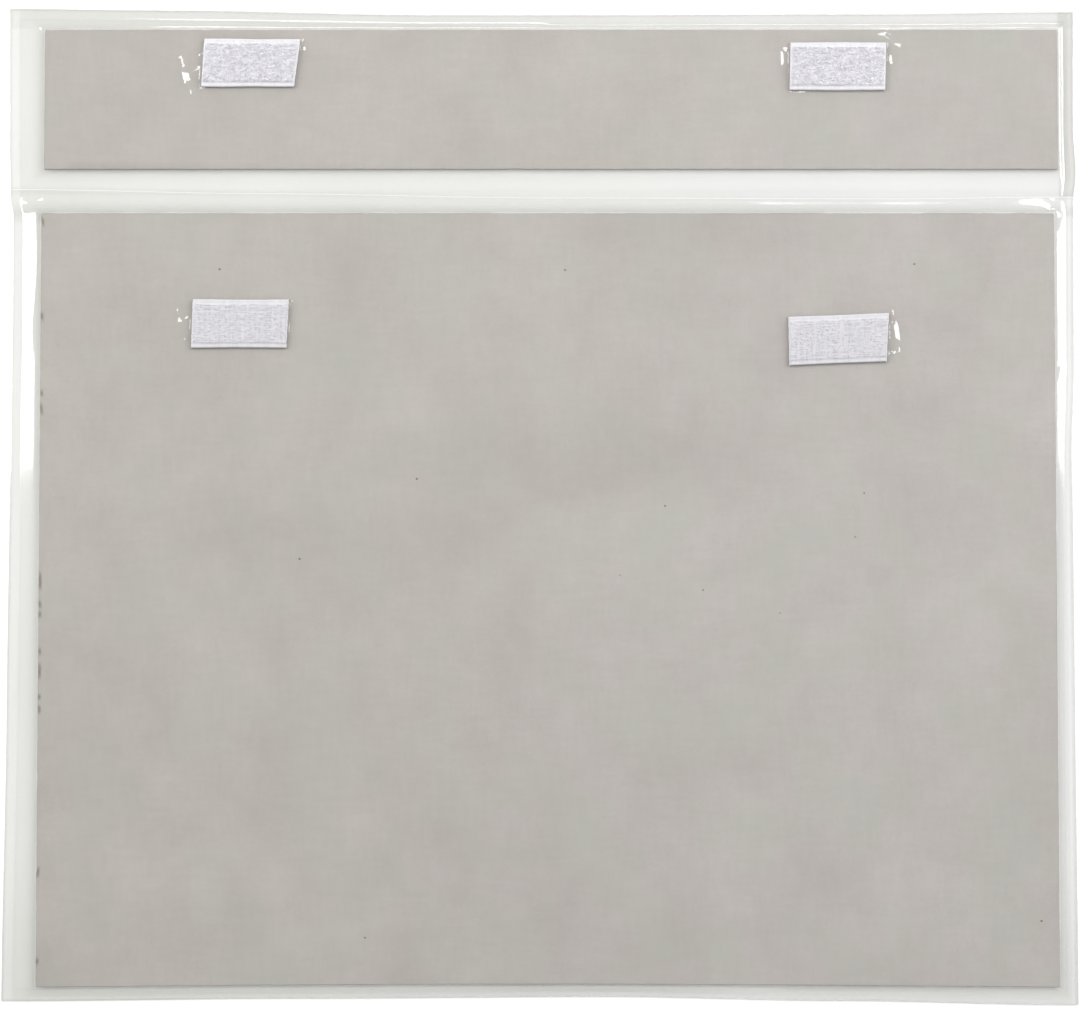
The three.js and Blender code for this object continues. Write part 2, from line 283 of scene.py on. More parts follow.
@dataclass(frozen=True)
class BoardFinish:
    """Grey chipboard: mottled, fibrous, matt, with painted shade on its cut edges and nicks. Patterns count
    spots to the metre.
    """

    name: str = "greyboard"
    light: Color = (0.597, 0.559, 0.537, 1.0)
    dark: Color = (0.53, 0.497, 0.473, 1.0)
    green: Color = (0.542, 0.538, 0.501, 1.0)
    # fleck: the colour of the flecks, fibres and specks, and of the painted shade
    fleck: Color = (0.30, 0.27, 0.235, 1.0)
    broad: float = 16.0
    patch: float = 30.0
    cloud: float = 45.0
    fibre: float = 420.0
    pulp: float = 900.0
    speck: float = 1500.0
    cloud_rough: float = 0.6
    fibre_rough: float = 0.65
    pulp_rough: float = 0.7
    fibre_thin: float = 0.22
    fibre_turns: tuple[float, float] = (0.7, 0.35)
    cloud_share: float = 0.4
    pulp_share: float = 0.2
    patch_share: float = 0.8
    strand_share: float = 0.10
    speck_share: float = 0.35
    tone_window: Window = (0.38, 0.62)
    patch_window: Window = (0.45, 0.68)
    strand_window: Window = (0.36, 0.64)
    speck_window: Window = (0.70, 0.78)
    roughness: float = 0.87
    specular: float = 0.2

    def material(self) -> bpy.types.Material:
        """Builds the board's material.

        Returns:
            The material.
        """
        s = Shader(self.name)
        clouds = s.noise(self.broad, 2.0, self.cloud_rough) * self.cloud_share
        clouds = clouds + s.noise(self.cloud, 3.0, self.cloud_rough) * self.cloud_share
        pulp = s.noise(self.pulp, 1.0, self.pulp_rough) * self.pulp_share
        color = s.blend(s.remap(clouds + pulp, self.tone_window), self.dark, self.light)
        patches = s.remap(s.noise(self.patch, 2.0), self.patch_window)
        color = s.blend(patches * self.patch_share, color, self.green)
        lengthwise = s.stretched((1.0, self.fibre_thin, 1.0), self.fibre_turns[0])
        crosswise = s.stretched((self.fibre_thin, 1.0, 1.0), self.fibre_turns[1])
        fibres = s.noise(self.fibre, 2.0, self.fibre_rough, lengthwise) * 0.5
        fibres = fibres + s.noise(self.fibre, 2.0, self.fibre_rough, crosswise) * 0.5
        color = s.blend(s.remap(fibres, self.strand_window) * self.strand_share, color, self.fleck)
        specks = s.remap(s.noise(self.speck, 1.0), self.speck_window)
        color = s.blend(specks * self.speck_share, color, self.fleck)
        # painted shade on the cut walls, rim and nicks, from the mesh's shade mark
        color = s.blend(s.attribute("shade"), color, self.fleck)
        inputs = {"Base Color": color, "Roughness": self.roughness, "Specular IOR Level": self.specular}
        return s.finish(s.solid(inputs))


class Weave(Enum):
    """The two faces of hook-and-loop tape."""

    LOOP = "loop"
    HOOK = "hook"

    def lit(self, color: Color) -> Color:
        """A nylon colour at this face's brightness."""
        share = HOOK_BRIGHTNESS if self is Weave.HOOK else 1.0
        return (*(channel * share for channel in color[:3]), 1.0)


@dataclass(frozen=True)
class TapeFinish:
    """White nylon: a woven ground with a sheen, ribbed across the tape. Paces are turns to the millimetre."""

    weave: Weave
    pale: Color = (0.745, 0.735, 0.77, 1.0)
    deep: Color = (0.64, 0.63, 0.665, 1.0)
    thread: float = 1300.0
    thread_thin: float = 0.13
    thread_window: Window = (0.3, 0.7)
    warp_pace: float = 1.05
    warp_share: float = 0.25
    weft_pace: float = 2.4
    weft_share: float = 0.2
    fuzz: float = 2400.0
    fuzz_share: float = 0.4
    tone_window: Window = (0.1, 0.8)
    relief: float = 0.0001
    relief_strength: float = 0.5
    roughness: float = 0.72
    sheen: float = 0.3

    def material(self) -> bpy.types.Material:
        """Builds the ground's material, which follows the tape's own UV map.

        Returns:
            The material.
        """
        s = Shader(f"{self.weave.value}_tape_weave")
        uv = s.add("ShaderNodeUVMap", {"uv_map": "tape"}).outputs[0]
        parts = s.add("ShaderNodeSeparateXYZ", None, {0: uv}).outputs
        lengthwise, across = (s.value(part) for part in parts[:2])
        stretch = s.stretched((1.0, self.thread_thin, 1.0))
        threads = s.remap(s.noise(self.thread, 1.0, 0.5, stretch), self.thread_window)
        warp = lengthwise.wave(self.warp_pace) * self.warp_share + threads * (1.0 - self.warp_share)
        weave = warp * (across.wave(self.weft_pace) * self.weft_share + (1.0 - self.weft_share))
        fuzz = s.noise(self.fuzz, 2.0, 0.6)
        tone = s.remap(weave * (1.0 - self.fuzz_share) + fuzz * self.fuzz_share, self.tone_window)
        color = s.blend(tone, self.weave.lit(self.deep), self.weave.lit(self.pale))
        bump = {"Height": weave + fuzz * 0.5, "Distance": self.relief, "Strength": self.relief_strength}
        normal = s.add("ShaderNodeBump", None, bump).outputs[0]
        inputs = {"Base Color": color, "Roughness": self.roughness, "Normal": normal}
        inputs["Sheen Weight"] = self.sheen
        return s.finish(s.solid(inputs))


@dataclass(frozen=True)
class FilamentFinish:
    """White nylon filament of the hooks or the loops."""

    weave: Weave
    pale: Color = (0.79, 0.78, 0.815, 1.0)
    deep: Color = (0.69, 0.68, 0.715, 1.0)
    tone: float = 700.0
    grain: float = 1500.0
    window: Window = (0.3, 0.7)
    hook_roughness: float = 0.38
    loop_roughness: float = 0.6
    uneven: float = 0.15

    def material(self) -> bpy.types.Material:
        """Builds the filament's material.

        Returns:
            The material.
        """
        s = Shader(f"{self.weave.value}_filament")
        tone = s.remap(s.noise(self.tone, 2.0), self.window)
        color = s.blend(tone, self.weave.lit(self.deep), self.weave.lit(self.pale))
        least = self.hook_roughness if self.weave is Weave.HOOK else self.loop_roughness
        rough = s.remap(s.noise(self.grain, 1.0), self.window) * self.uneven + least
        return s.finish(s.solid({"Base Color": color, "Roughness": rough}))


@dataclass(frozen=True)
class FloorFinish:
    """Plain white floor that looks white to the camera and keeps a soft shadow."""

    color: Color = (0.80, 0.80, 0.80, 1.0)
    glow: float = 0.36
    roughness: float = 0.9

    def material(self) -> bpy.types.Material:
        """Builds the floor's material.

        Returns:
            The material.
        """
        s = Shader("studio_floor")
        ground = s.solid({"Base Color": self.color, "Roughness": self.roughness, "Specular IOR Level": 0.0})
        path = s.add("ShaderNodeLightPath")
        rays = ("Is Camera Ray", "Is Glossy Ray", "Is Transmission Ray")
        seen, mirrored, through = (s.value(path.outputs[ray]) for ray in rays)
        strength = (seen + mirrored + through).clamped() * self.glow
        glow = s.add("ShaderNodeEmission", None, {"Strength": strength}).outputs[0]
        return s.finish(s.add("ShaderNodeAddShader", None, {0: ground, 1: glow}).outputs[0])


# Meshes

def ease(share: Array, low: float = 0.0, high: float = 1.0) -> Array:
    """Smooth step from 0 to 1 between two levels."""
    t = np.clip((share - low) / (high - low), 0.0, 1.0)
    return t * t * (3.0 - 2.0 * t)


def ridge(distance: Array, half: float, sharp: float = 1.0) -> Array:
    """A rounded ridge of height 1 along distance 0, which fades over its half width."""
    return np.exp(-sharp * (distance / half) ** 2)


def tapered(share: Array) -> Array:
    """One along the middle of a path, easing to zero at its ends."""
    return ease(share, 0.0, 0.3) * (1 - ease(share, 0.7, 1.0))


def along(stops: Stops, share: Array) -> Array:
    """Reads a wandering edge at a share of its length, easing from one stop to the next.

    Args:
        stops: shares of the length, and the edge's offset at each.
        share: the shares to read it at.

    Returns:
        The offsets.
    """
    t = np.clip(share, 0.0, 1.0)
    result = np.full_like(t, stops[-1][1], dtype=float)
    for (start, low), (end, high) in reversed(list(zip(stops[:-1], stops[1:]))):
        result = np.where(t <= end, low + (high - low) * ease(t, start, end), result)
    return result


def soft_noise(x: Array, y: Array, size: float, seed: int) -> Array:
    """Smooth repeatable unevenness between about -1 and 1.

    Args:
        x: places across, in millimetres.
        y: places lengthwise, in millimetres.
        size: the size of a swell in millimetres.
        seed: the pattern's seed.

    Returns:
        The unevenness at each place.
    """
    rng = np.random.default_rng(seed)
    total = np.zeros(np.broadcast(x, y).shape)
    waves = 7
    slowest, quickest = 0.6, 1.5
    strength = 0.7
    for _ in range(waves):
        angle = rng.uniform(0.0, math.tau)
        pace = rng.uniform(slowest, quickest) * math.tau / size
        phase = rng.uniform(0.0, math.tau)
        total += np.sin((x * math.cos(angle) + y * math.sin(angle)) * pace + phase)
    return total / math.sqrt(waves) * strength


def near_path(x: Array, y: Array, path: Path) -> tuple[Array, Array]:
    """Distance of each place from a path, positive on its right, and how far along its nearest point is.

    Args:
        x: places across.
        y: places lengthwise.
        path: the path's points.

    Returns:
        The distances, and the shares along the path from 0 to 1.
    """
    best = np.full(x.shape, np.inf)
    share = np.zeros(x.shape)
    side = np.ones(x.shape)
    pieces = len(path) - 1
    for k in range(pieces):
        ax, ay = path[k]
        bx, by = path[k + 1]
        dx, dy = bx - ax, by - ay
        t = np.clip(((x - ax) * dx + (y - ay) * dy) / (dx * dx + dy * dy), 0.0, 1.0)
        away = np.hypot(x - ax - t * dx, y - ay - t * dy)
        closer = away < best
        best = np.where(closer, away, best)
        share = np.where(closer, (k + t) / pieces, share)
        side = np.where(closer, np.sign((x - ax) * dy - (y - ay) * dx), side)
    return best * side, share


def mesh_piece(
    name: str, points: Array, faces: list[Any], marks: dict[str, Array] | None = None, smooth: bool = True
) -> bpy.types.Object:
    """Makes an object from points in millimetres.

    Args:
        name: the object's name.
        points: the points, one row each.
        faces: the faces, as lists of point numbers.
        marks: numbers stored on the points, by name.
        smooth: whether the faces are shaded as one smooth surface.

    Returns:
        The object, linked to the scene.
    """
    mesh = bpy.data.meshes.new(name)
    mesh.from_pydata((points * MM).tolist(), [], faces)
    for label, values in (marks or {}).items():
        layer = mesh.attributes.new(label, "FLOAT", "POINT")
        layer.data.foreach_set("value", values.astype(np.float32))
    if smooth:
        mesh.polygons.foreach_set("use_smooth", [True] * len(mesh.polygons))
    piece = bpy.data.objects.new(name, mesh)
    bpy.context.scene.collection.objects.link(piece)
    return piece


def closed_grid(
    name: str, x: Array, y: Array, low: Array, high: Array, marks: dict[str, Array] | None = None
) -> bpy.types.Object:
    """Closes a grid of places with a lower and an upper height into one solid piece.

    Args:
        name: the piece's name.
        x: places across, as a grid in millimetres.
        y: places lengthwise, as a grid in millimetres.
        low: the underside's heights.
        high: the upper side's heights.
        marks: numbers for the grid's places, by name.

    Returns:
        The piece.
    """
    columns, rows = x.shape
    count = columns * rows
    points = np.concatenate([np.stack([x, y, h], -1).reshape(-1, 3) for h in (low, high)])
    number = np.arange(count).reshape(columns, rows)
    a, b = number[:-1, :-1].ravel(), number[1:, :-1].ravel()
    c, d = number[1:, 1:].ravel(), number[:-1, 1:].ravel()
    faces = [np.stack([a, d, c, b], -1), np.stack([a, b, c, d], -1) + count]
    rim = np.concatenate([number[:, 0], number[-1, 1:], number[-2::-1, -1], number[0, -2:0:-1]])
    following = np.roll(rim, -1)
    faces.append(np.stack([rim, following, following + count, rim + count], -1))
    doubled = {label: np.concatenate([value.ravel()] * 2) for label, value in (marks or {}).items()}
    return mesh_piece(name, points, np.concatenate(faces).tolist(), doubled)


def fine_lines(start: float, end: float, step: float, zones: Sequence[tuple[float, float, float]]) -> Array:
    """Grid places between two ends, closer together inside some zones.

    Args:
        start: the first place.
        end: the last place.
        step: the usual distance between places.
        zones: first place, last place and step of each finer zone.

    Returns:
        The places in order.
    """
    places = [start]
    while places[-1] < end:
        here = places[-1]
        pace = min([step] + [fine for low, high, fine in zones if low - fine <= here < high])
        ahead = [low for low, _, _ in zones if here < low - 1e-6 < here + pace]
        places.append(min([here + pace] + ahead))
    places[-1] = end
    return np.array(places)


def face_materials(piece: bpy.types.Object, cells: int, lower: int, upper: int) -> None:
    """Gives the lower and the upper faces of a closed grid their materials; the rim keeps the first.

    Args:
        piece: the piece.
        cells: the number of the grid's cells.
        lower: the lower faces' material number.
        upper: the upper faces' material number.
    """
    numbers = [lower] * cells + [upper] * cells
    numbers += [0] * (len(piece.data.polygons) - len(numbers))
    piece.data.polygons.foreach_set("material_index", numbers)


def dress(piece: bpy.types.Object, slot: str, *materials: bpy.types.Material) -> None:
    """Gives a piece its materials and its body.

    Args:
        piece: the piece.
        slot: not used.
        materials: the materials to add to it.
    """
    for material in materials:
        piece.data.materials.append(material)
    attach(piece, "root")
    log.info("%s: %d faces", piece.name, len(piece.data.polygons))


# The folder's plan

@dataclass(frozen=True)
class Board:
    """A stiffener board's outline in the drawing's frame, in millimetres."""

    x: float
    y: float
    width: float
    length: float
    bow: float

    def low_edge(self, x: Array) -> Array:
        """Lower edge, bowed up towards its middle."""
        share = np.clip((x - self.x) / self.width, -0.5, 0.5)
        return self.y - self.length / 2 + self.bow * np.cos(math.pi * share)

    def high_edge(self) -> float:
        """Upper edge."""
        return self.y + self.length / 2

    def outside(self, x: Array, y: Array) -> Array:
        """How far a place is outside the outline, zero on the board.

        Args:
            x: places across.
            y: places lengthwise.

        Returns:
            The distances.
        """
        sideways = np.maximum(np.abs(x - self.x) - self.width / 2, 0.0)
        lengthways = np.maximum(np.maximum(self.low_edge(x) - y, y - self.high_edge()), 0.0)
        return np.maximum(sideways, lengthways)


@dataclass(frozen=True)
class Pad:
    """One hook or loop pad, placed in from the nearer side and from the flap's outer edge.

    Its ends widen by slant, its long edges lean sideways by lean, and turn is in degrees.
    """

    node: str
    weave: Weave
    side: int
    inset: float
    reach: float
    spare: float
    turn: float
    slant: float
    lean: float


@dataclass(frozen=True)
class FolderPlan:
    """The folder's sizes in millimetres, with the fold along y = 0, and what follows from them."""

    width: float = 423.0
    body_length: float = 318.5
    flap_length: float = 74.1
    film: float = 0.4
    lip: float = 0.9
    weld: float = 2.2
    weld_depth: float = 0.14
    bead: float = 0.4
    bead_height: float = 0.12
    slit: float = 0.35
    mouth_lift: float = 0.6
    mouth_ease: float = 30.0
    board: float = 1.5
    body_left: float = 13.0
    body_right: float = 7.2
    body_fold: float = 6.7
    body_edge: float = 5.8
    body_bow: float = 1.2
    flap_left: float = 13.9
    flap_right: float = 5.5
    flap_fold: float = 10.9
    flap_edge: float = 7.2
    clearance: float = 0.8
    tape_width: float = 19.2
    pad_length: float = 38.1
    left_stops: Stops = (
        (0, 0.6), (0.3, -0.6), (0.55, -1.2), (0.79, -1.4), (0.815, -0.1), (0.86, 0.4), (1, 0.7),
    )
    right_stops: Stops = (
        (0, 0.2), (0.35, -0.2), (0.55, -0.5), (0.64, 0.7), (0.805, 0.9), (0.835, 2.2), (0.88, 1.2), (1, 1.5)
    )
    top_stops: Stops = ((0, 1.5), (0.15, 0.9), (0.4, -0.9), (0.55, -0.9), (0.8, -0.6), (1, 0.3))
    bottom_stops: Stops = ((0, -0.2), (0.28, -1.2), (0.56, -1.9), (0.78, -0.3), (1, 1.4))
    mouth_stops: Stops = ((0, 2.9), (0.25, 1.1), (0.5, -0.5), (0.83, -0.9), (1, -0.1))

    def side_share(self, y: Array) -> Array:
        """How far up the folder's sides a place is."""
        return (y + self.body_length) / (self.body_length + self.flap_length)

    def left(self, y: Array) -> Array:
        """Left cut edge."""
        return -self.width / 2 - along(self.left_stops, self.side_share(y))

    def right(self, y: Array) -> Array:
        """Right cut edge."""
        return self.width / 2 + along(self.right_stops, self.side_share(y))

    def top(self, x: Array) -> Array:
        """Outer cut edge of the flap."""
        return self.flap_length + along(self.top_stops, x / self.width + 0.5)

    def bottom(self, x: Array) -> Array:
        """Lower cut edge of the body."""
        return -self.body_length - along(self.bottom_stops, x / self.width + 0.5)

    def free_edge(self, x: Array, towards: int) -> Array:
        """A front sheet's edge at the slit: 1 for the sheet below the slit, -1 for the one above it."""
        return along(self.mouth_stops, x / self.width + 0.5) - towards * self.slit / 2

    def side_room(self, x: Array, y: Array) -> Array:
        """Distance in from the nearer side's cut edge."""
        return np.minimum(x - self.left(y), self.right(y) - x)

    def welded(self) -> float:
        """Width of the lip, the weld and its bead together."""
        return self.lip + self.weld + self.bead

    def board_top(self) -> float:
        """Height of the boards' upper face."""
        return self.film + self.board

    def body_board(self) -> Board:
        """The large board.

        Returns:
            Its outline.
        """
        width = self.width - self.body_left - self.body_right
        length = self.body_length - self.body_edge - self.body_fold
        middle = (self.body_edge - self.body_length - self.body_fold) / 2
        return Board((self.body_left - self.body_right) / 2, middle, width, length, self.body_bow)

    def flap_board(self) -> Board:
        """The narrow board.

        Returns:
            Its outline.
        """
        width = self.width - self.flap_left - self.flap_right
        length = self.flap_length - self.flap_edge - self.flap_fold
        middle = (self.flap_length - self.flap_edge + self.flap_fold) / 2
        return Board((self.flap_left - self.flap_right) / 2, middle, width, length, 0.0)

    def pads(self) -> list[Pad]:
        """The four pads.

        Returns:
            The loop pads, then the hook pads.
        """
        return [
            Pad("loop_tape_left", Weave.LOOP, -1, 95.8, 20.7, -0.5, -0.2, 1.5, 1.8),
            Pad("loop_tape_right", Weave.LOOP, 1, 93.0, 22.1, 0.0, 0.0, 0.1, 0.45),
            Pad("hook_tape_left", Weave.HOOK, -1, 92.2, 23.2, -0.1, -0.1, 0.4, 0.75),
            Pad("hook_tape_right", Weave.HOOK, 1, 93.3, 17.0, 1.2, 2.3, 1.2, 1.1),
        ]

    def pad_middle(self, pad: Pad) -> tuple[float, float]:
        """A pad's middle in the drawing's frame.

        Args:
            pad: the pad.

        Returns:
            Its places across and lengthwise.
        """
        x = pad.side * (self.width / 2 - pad.inset)
        reach = self.flap_length - pad.reach
        return x, reach if pad.weave is Weave.LOOP else -reach

    def shift(self) -> tuple[float, float]:
        """What moves the drawing onto the CAD frame, from where the large board lies in both.

        Returns:
            The shifts across and lengthwise.
        """
        low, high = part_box("body_board")
        board = self.body_board()
        return (low.x + high.x) / 2 / MM - board.x, high.y / MM - board.high_edge()


@dataclass(frozen=True)
class Pucker:
    """A small ridge in the film, in the CAD frame's millimetres, with the painted reflection band it adds to
    the film's shade: darker where positive, lighter where negative.
    """

    path: Path
    half: float
    rise: float
    tone: float = 0.0


# The film

@dataclass(frozen=True)
class FilmShades:
    """How much the film darkens at each of its features: painted shade at its cut edges, beside its boards,
    below the fold, at the slit and mouth, round the pads, towards the bottom and in the flap's right margin.
    """

    plain: float = 0.035
    uneven: float = 0.012
    cut: float = 0.08
    weld: float = 0.035
    climb: float = 0.10
    board_edge: float = 0.02
    fold: float = 0.12
    slit: float = 0.05
    mouth: float = 0.06
    pad_shadow: float = 0.03
    lower_body: float = 0.018
    lower_margin: float = 0.085
    flap_top: float = 0.05
    flap_right: float = 0.14
    back_cut: float = 0.2


@dataclass
class FilmSheets:
    """The back sheet and the two front sheets of clear film, shaped by welds, boards, pads and buckles."""

    plan: FolderPlan
    shades: FilmShades = FilmShades()
    step: float = 4.4
    back_step: float = 6.0
    border_step: float = 0.5
    pad_step: float = 0.42
    pad_row_step: float = 0.55
    air: float = 0.03
    straight: float = 0.7
    late_climb: float = 0.45
    weld_share: float = 0.5
    slack: float = 0.12
    flutter: float = 0.12
    unevenness: Sequence[tuple[float, int, float]] = ((95.0, 5, 0.10), (42.0, 9, 0.035))
    # the waves lift the film, and their tones paint reflection bands on it
    waves: Sequence[Pucker] = (
        Pucker(((-119.9, 19.1), (-24.7, 18.3), (38.7, 19.1), (122.0, 20.3)), 15.0, 0.62, 0.035),
        Pucker(((-179.2, -12.6), (-8.9, -12.6)), 12.0, 0.4, 0.025),
        Pucker(((-8.9, 109.0), (114.5, 109.0)), 9.0, 0.35, 0.03),
        Pucker(((-121.3, -113.2), (-87.5, -185.7)), 11.0, 0.45, -0.03),
        Pucker(((-138.9, -144.6), (-125.0, -168.1)), 8.0, 0.3, -0.03),
        Pucker(((54.2, -150.0), (62.0, -189.6)), 8.0, 0.4, 0.025),
        Pucker(((85.7, -150.4), (85.6, -189.6)), 7.0, 0.35, 0.025),
        Pucker(((121.1, -158.0), (121.0, -189.6)), 7.0, 0.3, -0.02),
        Pucker(((158.0, -18.0), (181.0, -96.0)), 14.0, 0.4),
    )
    soft_side: float = 2.6
    fullness: float = 1.7
    puckers: Sequence[Pucker] = (
        Pucker(((-134.6, 185.6), (-135.8, 181.2), (-137.2, 177.0)), 0.9, 0.36),
        Pucker(((-142.6, 173.4), (-140.4, 165.4)), 1.9, 0.80),
        Pucker(((-94.6, 179.4), (-95.6, 185.6)), 0.8, 0.42),
        Pucker(((95.4, 182.4), (96.0, 172.6)), 1.1, 0.53),
        Pucker(((97.6, 164.8), (99.6, 162.8), (102.6, 162.0)), 0.8, 0.32),
        Pucker(((141.6, 182.0), (135.6, 188.2)), 1.0, 0.42),
        Pucker(((143.4, 182.2), (138.4, 187.8)), 0.8, 0.34),
        Pucker(((139.0, 174.0), (138.4, 180.2)), 0.9, 0.36),
        Pucker(((-144.2, 74.4), (-142.2, 66.4)), 1.3, 0.54),
        Pucker(((-98.2, 77.6), (-99.2, 80.9)), 0.8, 0.30),
        Pucker(((-97.6, 67.0), (-98.4, 72.8)), 0.9, 0.26),
        Pucker(((141.4, 62.6), (140.6, 68.0), (139.6, 73.8)), 1.3, 0.54),
        Pucker(((139.4, 57.4), (139.8, 60.6)), 0.8, 0.34),
        Pucker(((196.4, 189.8), (190.2, 192.3)), 1.0, 0.40),
        Pucker(((208.8, 113.6), (202.6, 119.4)), 1.5, 0.60),
        Pucker(((-198.4, 121.6), (-208.4, 120.6)), 1.0, 0.42),
        Pucker(((204.0, 46.9), (206.6, 60.8), (206.2, 111.9)), 1.0, 0.20),
        Pucker(((-201.6, 94.7), (-204.3, 62.8)), 0.9, 0.18),
    )

    def __post_init__(self) -> None:
        """Works out where the drawing lies in the CAD frame."""
        self.dx, self.dy = self.plan.shift()

    def pad_distance(self, x: Array, y: Array) -> Array:
        """How far a place is outside the nearest pad.

        Args:
            x: places across.
            y: places lengthwise.

        Returns:
            The distances, zero under a pad.
        """
        p = self.plan
        best = np.full(x.shape, np.inf)
        for pad in p.pads():
            px, py = p.pad_middle(pad)
            turn = math.radians(pad.turn)
            u = (x - px) * math.cos(turn) + (y - py) * math.sin(turn)
            v = (y - py) * math.cos(turn) - (x - px) * math.sin(turn)
            u = u - pad.lean * v / p.tape_width
            beyond_end = np.maximum(np.abs(u) - (p.pad_length + pad.spare) / 2, 0.0)
            beyond_side = np.maximum(np.abs(v) - p.tape_width / 2, 0.0)
            best = np.minimum(best, np.hypot(beyond_end, beyond_side))
        return best

    def relief(self, inset: Array) -> Array:
        """Height that the pressed weld and its bead add to the upper face.

        Args:
            inset: distance in from the welded edges.

        Returns:
            The heights.
        """
        p = self.plan
        inner = p.lip + p.weld
        sunk = ease(inset, p.lip - 0.5, p.lip + 0.6) * (1 - ease(inset, inner - 0.9, inner))
        bead = ease(inset, inner - 0.5, inner + 0.3) * (1 - ease(inset, p.welded() - 0.1, p.welded() + 1.2))
        return (bead * p.bead_height - sunk * p.weld_depth) * self.weld_share

    def swell(self, x: Array, y: Array, inset: Array) -> Array:
        """Height of the waves, puckers and unevenness of the film that lies over a board.

        Args:
            x: places across.
            y: places lengthwise.
            inset: distance in from the welded edges.

        Returns:
            The heights.
        """
        fx, fy = x + self.dx, y + self.dy
        away = self.pad_distance(x, y)
        rise = np.zeros(x.shape)
        for wave in self.waves:
            distance, share = near_path(fx, fy, wave.path)
            rise += wave.rise * (tapered(share) * 0.75 + 0.25) * ridge(distance, wave.half, 2.0)
        broad = sum(soft_noise(fx, fy, size, seed) * height for size, seed, height in self.unevenness)
        rise += np.maximum(broad + self.slack, 0.0)
        rise *= ease(away, 3.0, 24.0)
        rim = ridge(away - 2.4, 1.5) * (0.05 + 0.04 * soft_noise(fx, fy, 14.0, 3))
        rise += np.maximum(rim, 0.0) * (away > 0.01)
        for pucker in self.puckers:
            distance, share = near_path(fx, fy, pucker.path)
            half = pucker.half * self.fullness
            distance = distance + half / 2
            spread = np.where(distance > 0.0, half, half * self.soft_side)
            height = pucker.rise * self.fullness * (tapered(share) * 0.7 + 0.3)
            rise += height * ridge(distance, spread, 2.0) * ease(away, 0.0, 0.7)
        return rise * ease(inset, self.plan.welded(), self.plan.welded() + 2.0)

    def fitted(
        self, across: Array, lengthwise: Array, edges: Sequence[Callable[[Array], Array]]
    ) -> tuple[Array, Array]:
        """Fits a grid between the folder's sides and a lower and an upper edge.

        Args:
            across: the grid's places across.
            lengthwise: the grid's places lengthwise.
            edges: the lower and the upper edge, as functions of the places across.

        Returns:
            The places across and lengthwise, as grids.
        """
        p = self.plan
        share_x = (across + p.width / 2) / p.width
        share_y = (lengthwise - lengthwise[0]) / (lengthwise[-1] - lengthwise[0])
        x = np.tile(across[:, None], (1, len(lengthwise)))
        y = np.tile(lengthwise, (len(across), 1))
        for _ in range(3):
            x = p.left(y) + (p.right(y) - p.left(y)) * share_x[:, None]
            low, high = (edge(x) for edge in edges)
            y = low + (high - low) * share_y[None, :]
        return x, y

    def sheet(
        self, node: str, finish: FilmFinish, x: Array, y: Array,
        low: Array, high: Array, shade: Array, front: bool,
    ) -> bpy.types.Object:
        """Closes a grid into a film sheet whose face towards the board is the inner one.

        Args:
            node: the CAD node that the sheet stands for.
            finish: the film's finish.
            x: places across.
            y: places lengthwise.
            low: the underside's heights.
            high: the upper side's heights.
            shade: how much the film darkens at each place.
            front: whether the sheet lies over the boards.

        Returns:
            The sheet.
        """
        marks = {"shade": shade, "fused": self.fused(x, y)}
        piece = closed_grid(f"{node}_film", x + self.dx, y + self.dy, low, high, marks)
        dress(piece, finish.name, finish.material(True), finish.material(False))
        columns, rows = x.shape
        outer, inner = 0, 1
        lower, upper = (inner, outer) if front else (outer, inner)
        face_materials(piece, (columns - 1) * (rows - 1), lower, upper)
        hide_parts(node)
        return piece

    def skin(self, name: str, board: Board, towards: int, finish: FilmFinish) -> bpy.types.Object:
        """A front sheet, welded round a board and open along the slit.

        Args:
            name: the CAD node that the sheet stands for.
            board: the board under it.
            towards: 1 where the slit is at the sheet's upper edge, -1 at its lower edge.
            finish: the film's finish.

        Returns:
            The sheet.
        """
        p = self.plan
        half = p.width / 2
        board_left, board_right = board.x - board.width / 2, board.x + board.width / 2
        zones = [(-half, board_left + 2.0, self.border_step), (board_right - 3.0, half, self.border_step)]
        pad_rows = []
        for pad in p.pads():
            px, py = p.pad_middle(pad)
            if (py > 0) == (towards < 0):
                ends = (p.pad_length + pad.spare) / 2
                zones.append((px - ends - 8.5, px - ends + 1.5, self.pad_step))
                zones.append((px + ends - 1.5, px + ends + 7.5, self.pad_step))
                pad_rows.append(py)
        across = fine_lines(-half, half, self.step, zones)
        free = partial(p.free_edge, towards=towards)
        welded = p.bottom if towards > 0 else p.top
        edges = (welded, free) if towards > 0 else (free, welded)
        start, end = (float(edge(np.zeros(1))[0]) for edge in edges)
        zones = [
            (min(pad_rows) - 13.0, max(pad_rows) + 14.0, self.pad_row_step),
            (start, start + 8.0, self.border_step),
            (end - 9.0, end, self.border_step),
        ]
        x, y = self.fitted(across, fine_lines(start, end, self.step, zones), edges)
        inset = np.minimum(p.side_room(x, y), towards * (y - welded(x)))
        low = self.underside(board, x, y, inset, towards)
        high = low + p.film + self.relief(inset)
        shade = self.shading(board, x, y, inset, towards * (free(x) - y))
        return self.sheet(name, finish, x, y, low, high, shade, True)

    def climbing(self, share: Array, narrow: Array) -> Array:
        """Share of the climb onto the board: nearly straight, but late and steep in a narrow margin."""
        gentle = share * self.straight + ease(share) * (1.0 - self.straight)
        return np.where(narrow, ease(share, self.late_climb, 1.0), gentle)

    def held_up(self, board: Board, x: Array, y: Array, reach: Array, narrow: Array) -> Array:
        """Height of a front sheet's underside where its board holds it up.

        Args:
            board: the board under the sheet.
            x: places across.
            y: places lengthwise.
            reach: distance in from the weld's bead.
            narrow: where the film has little room to climb.

        Returns:
            The heights.
        """
        away = np.maximum(board.outside(x, y) - self.plan.clearance, 0.0)
        share = np.where(away <= 0.0, 1.0, reach / np.maximum(reach + away, 1e-6))
        return self.plan.film + self.plan.board * self.climbing(share, narrow)

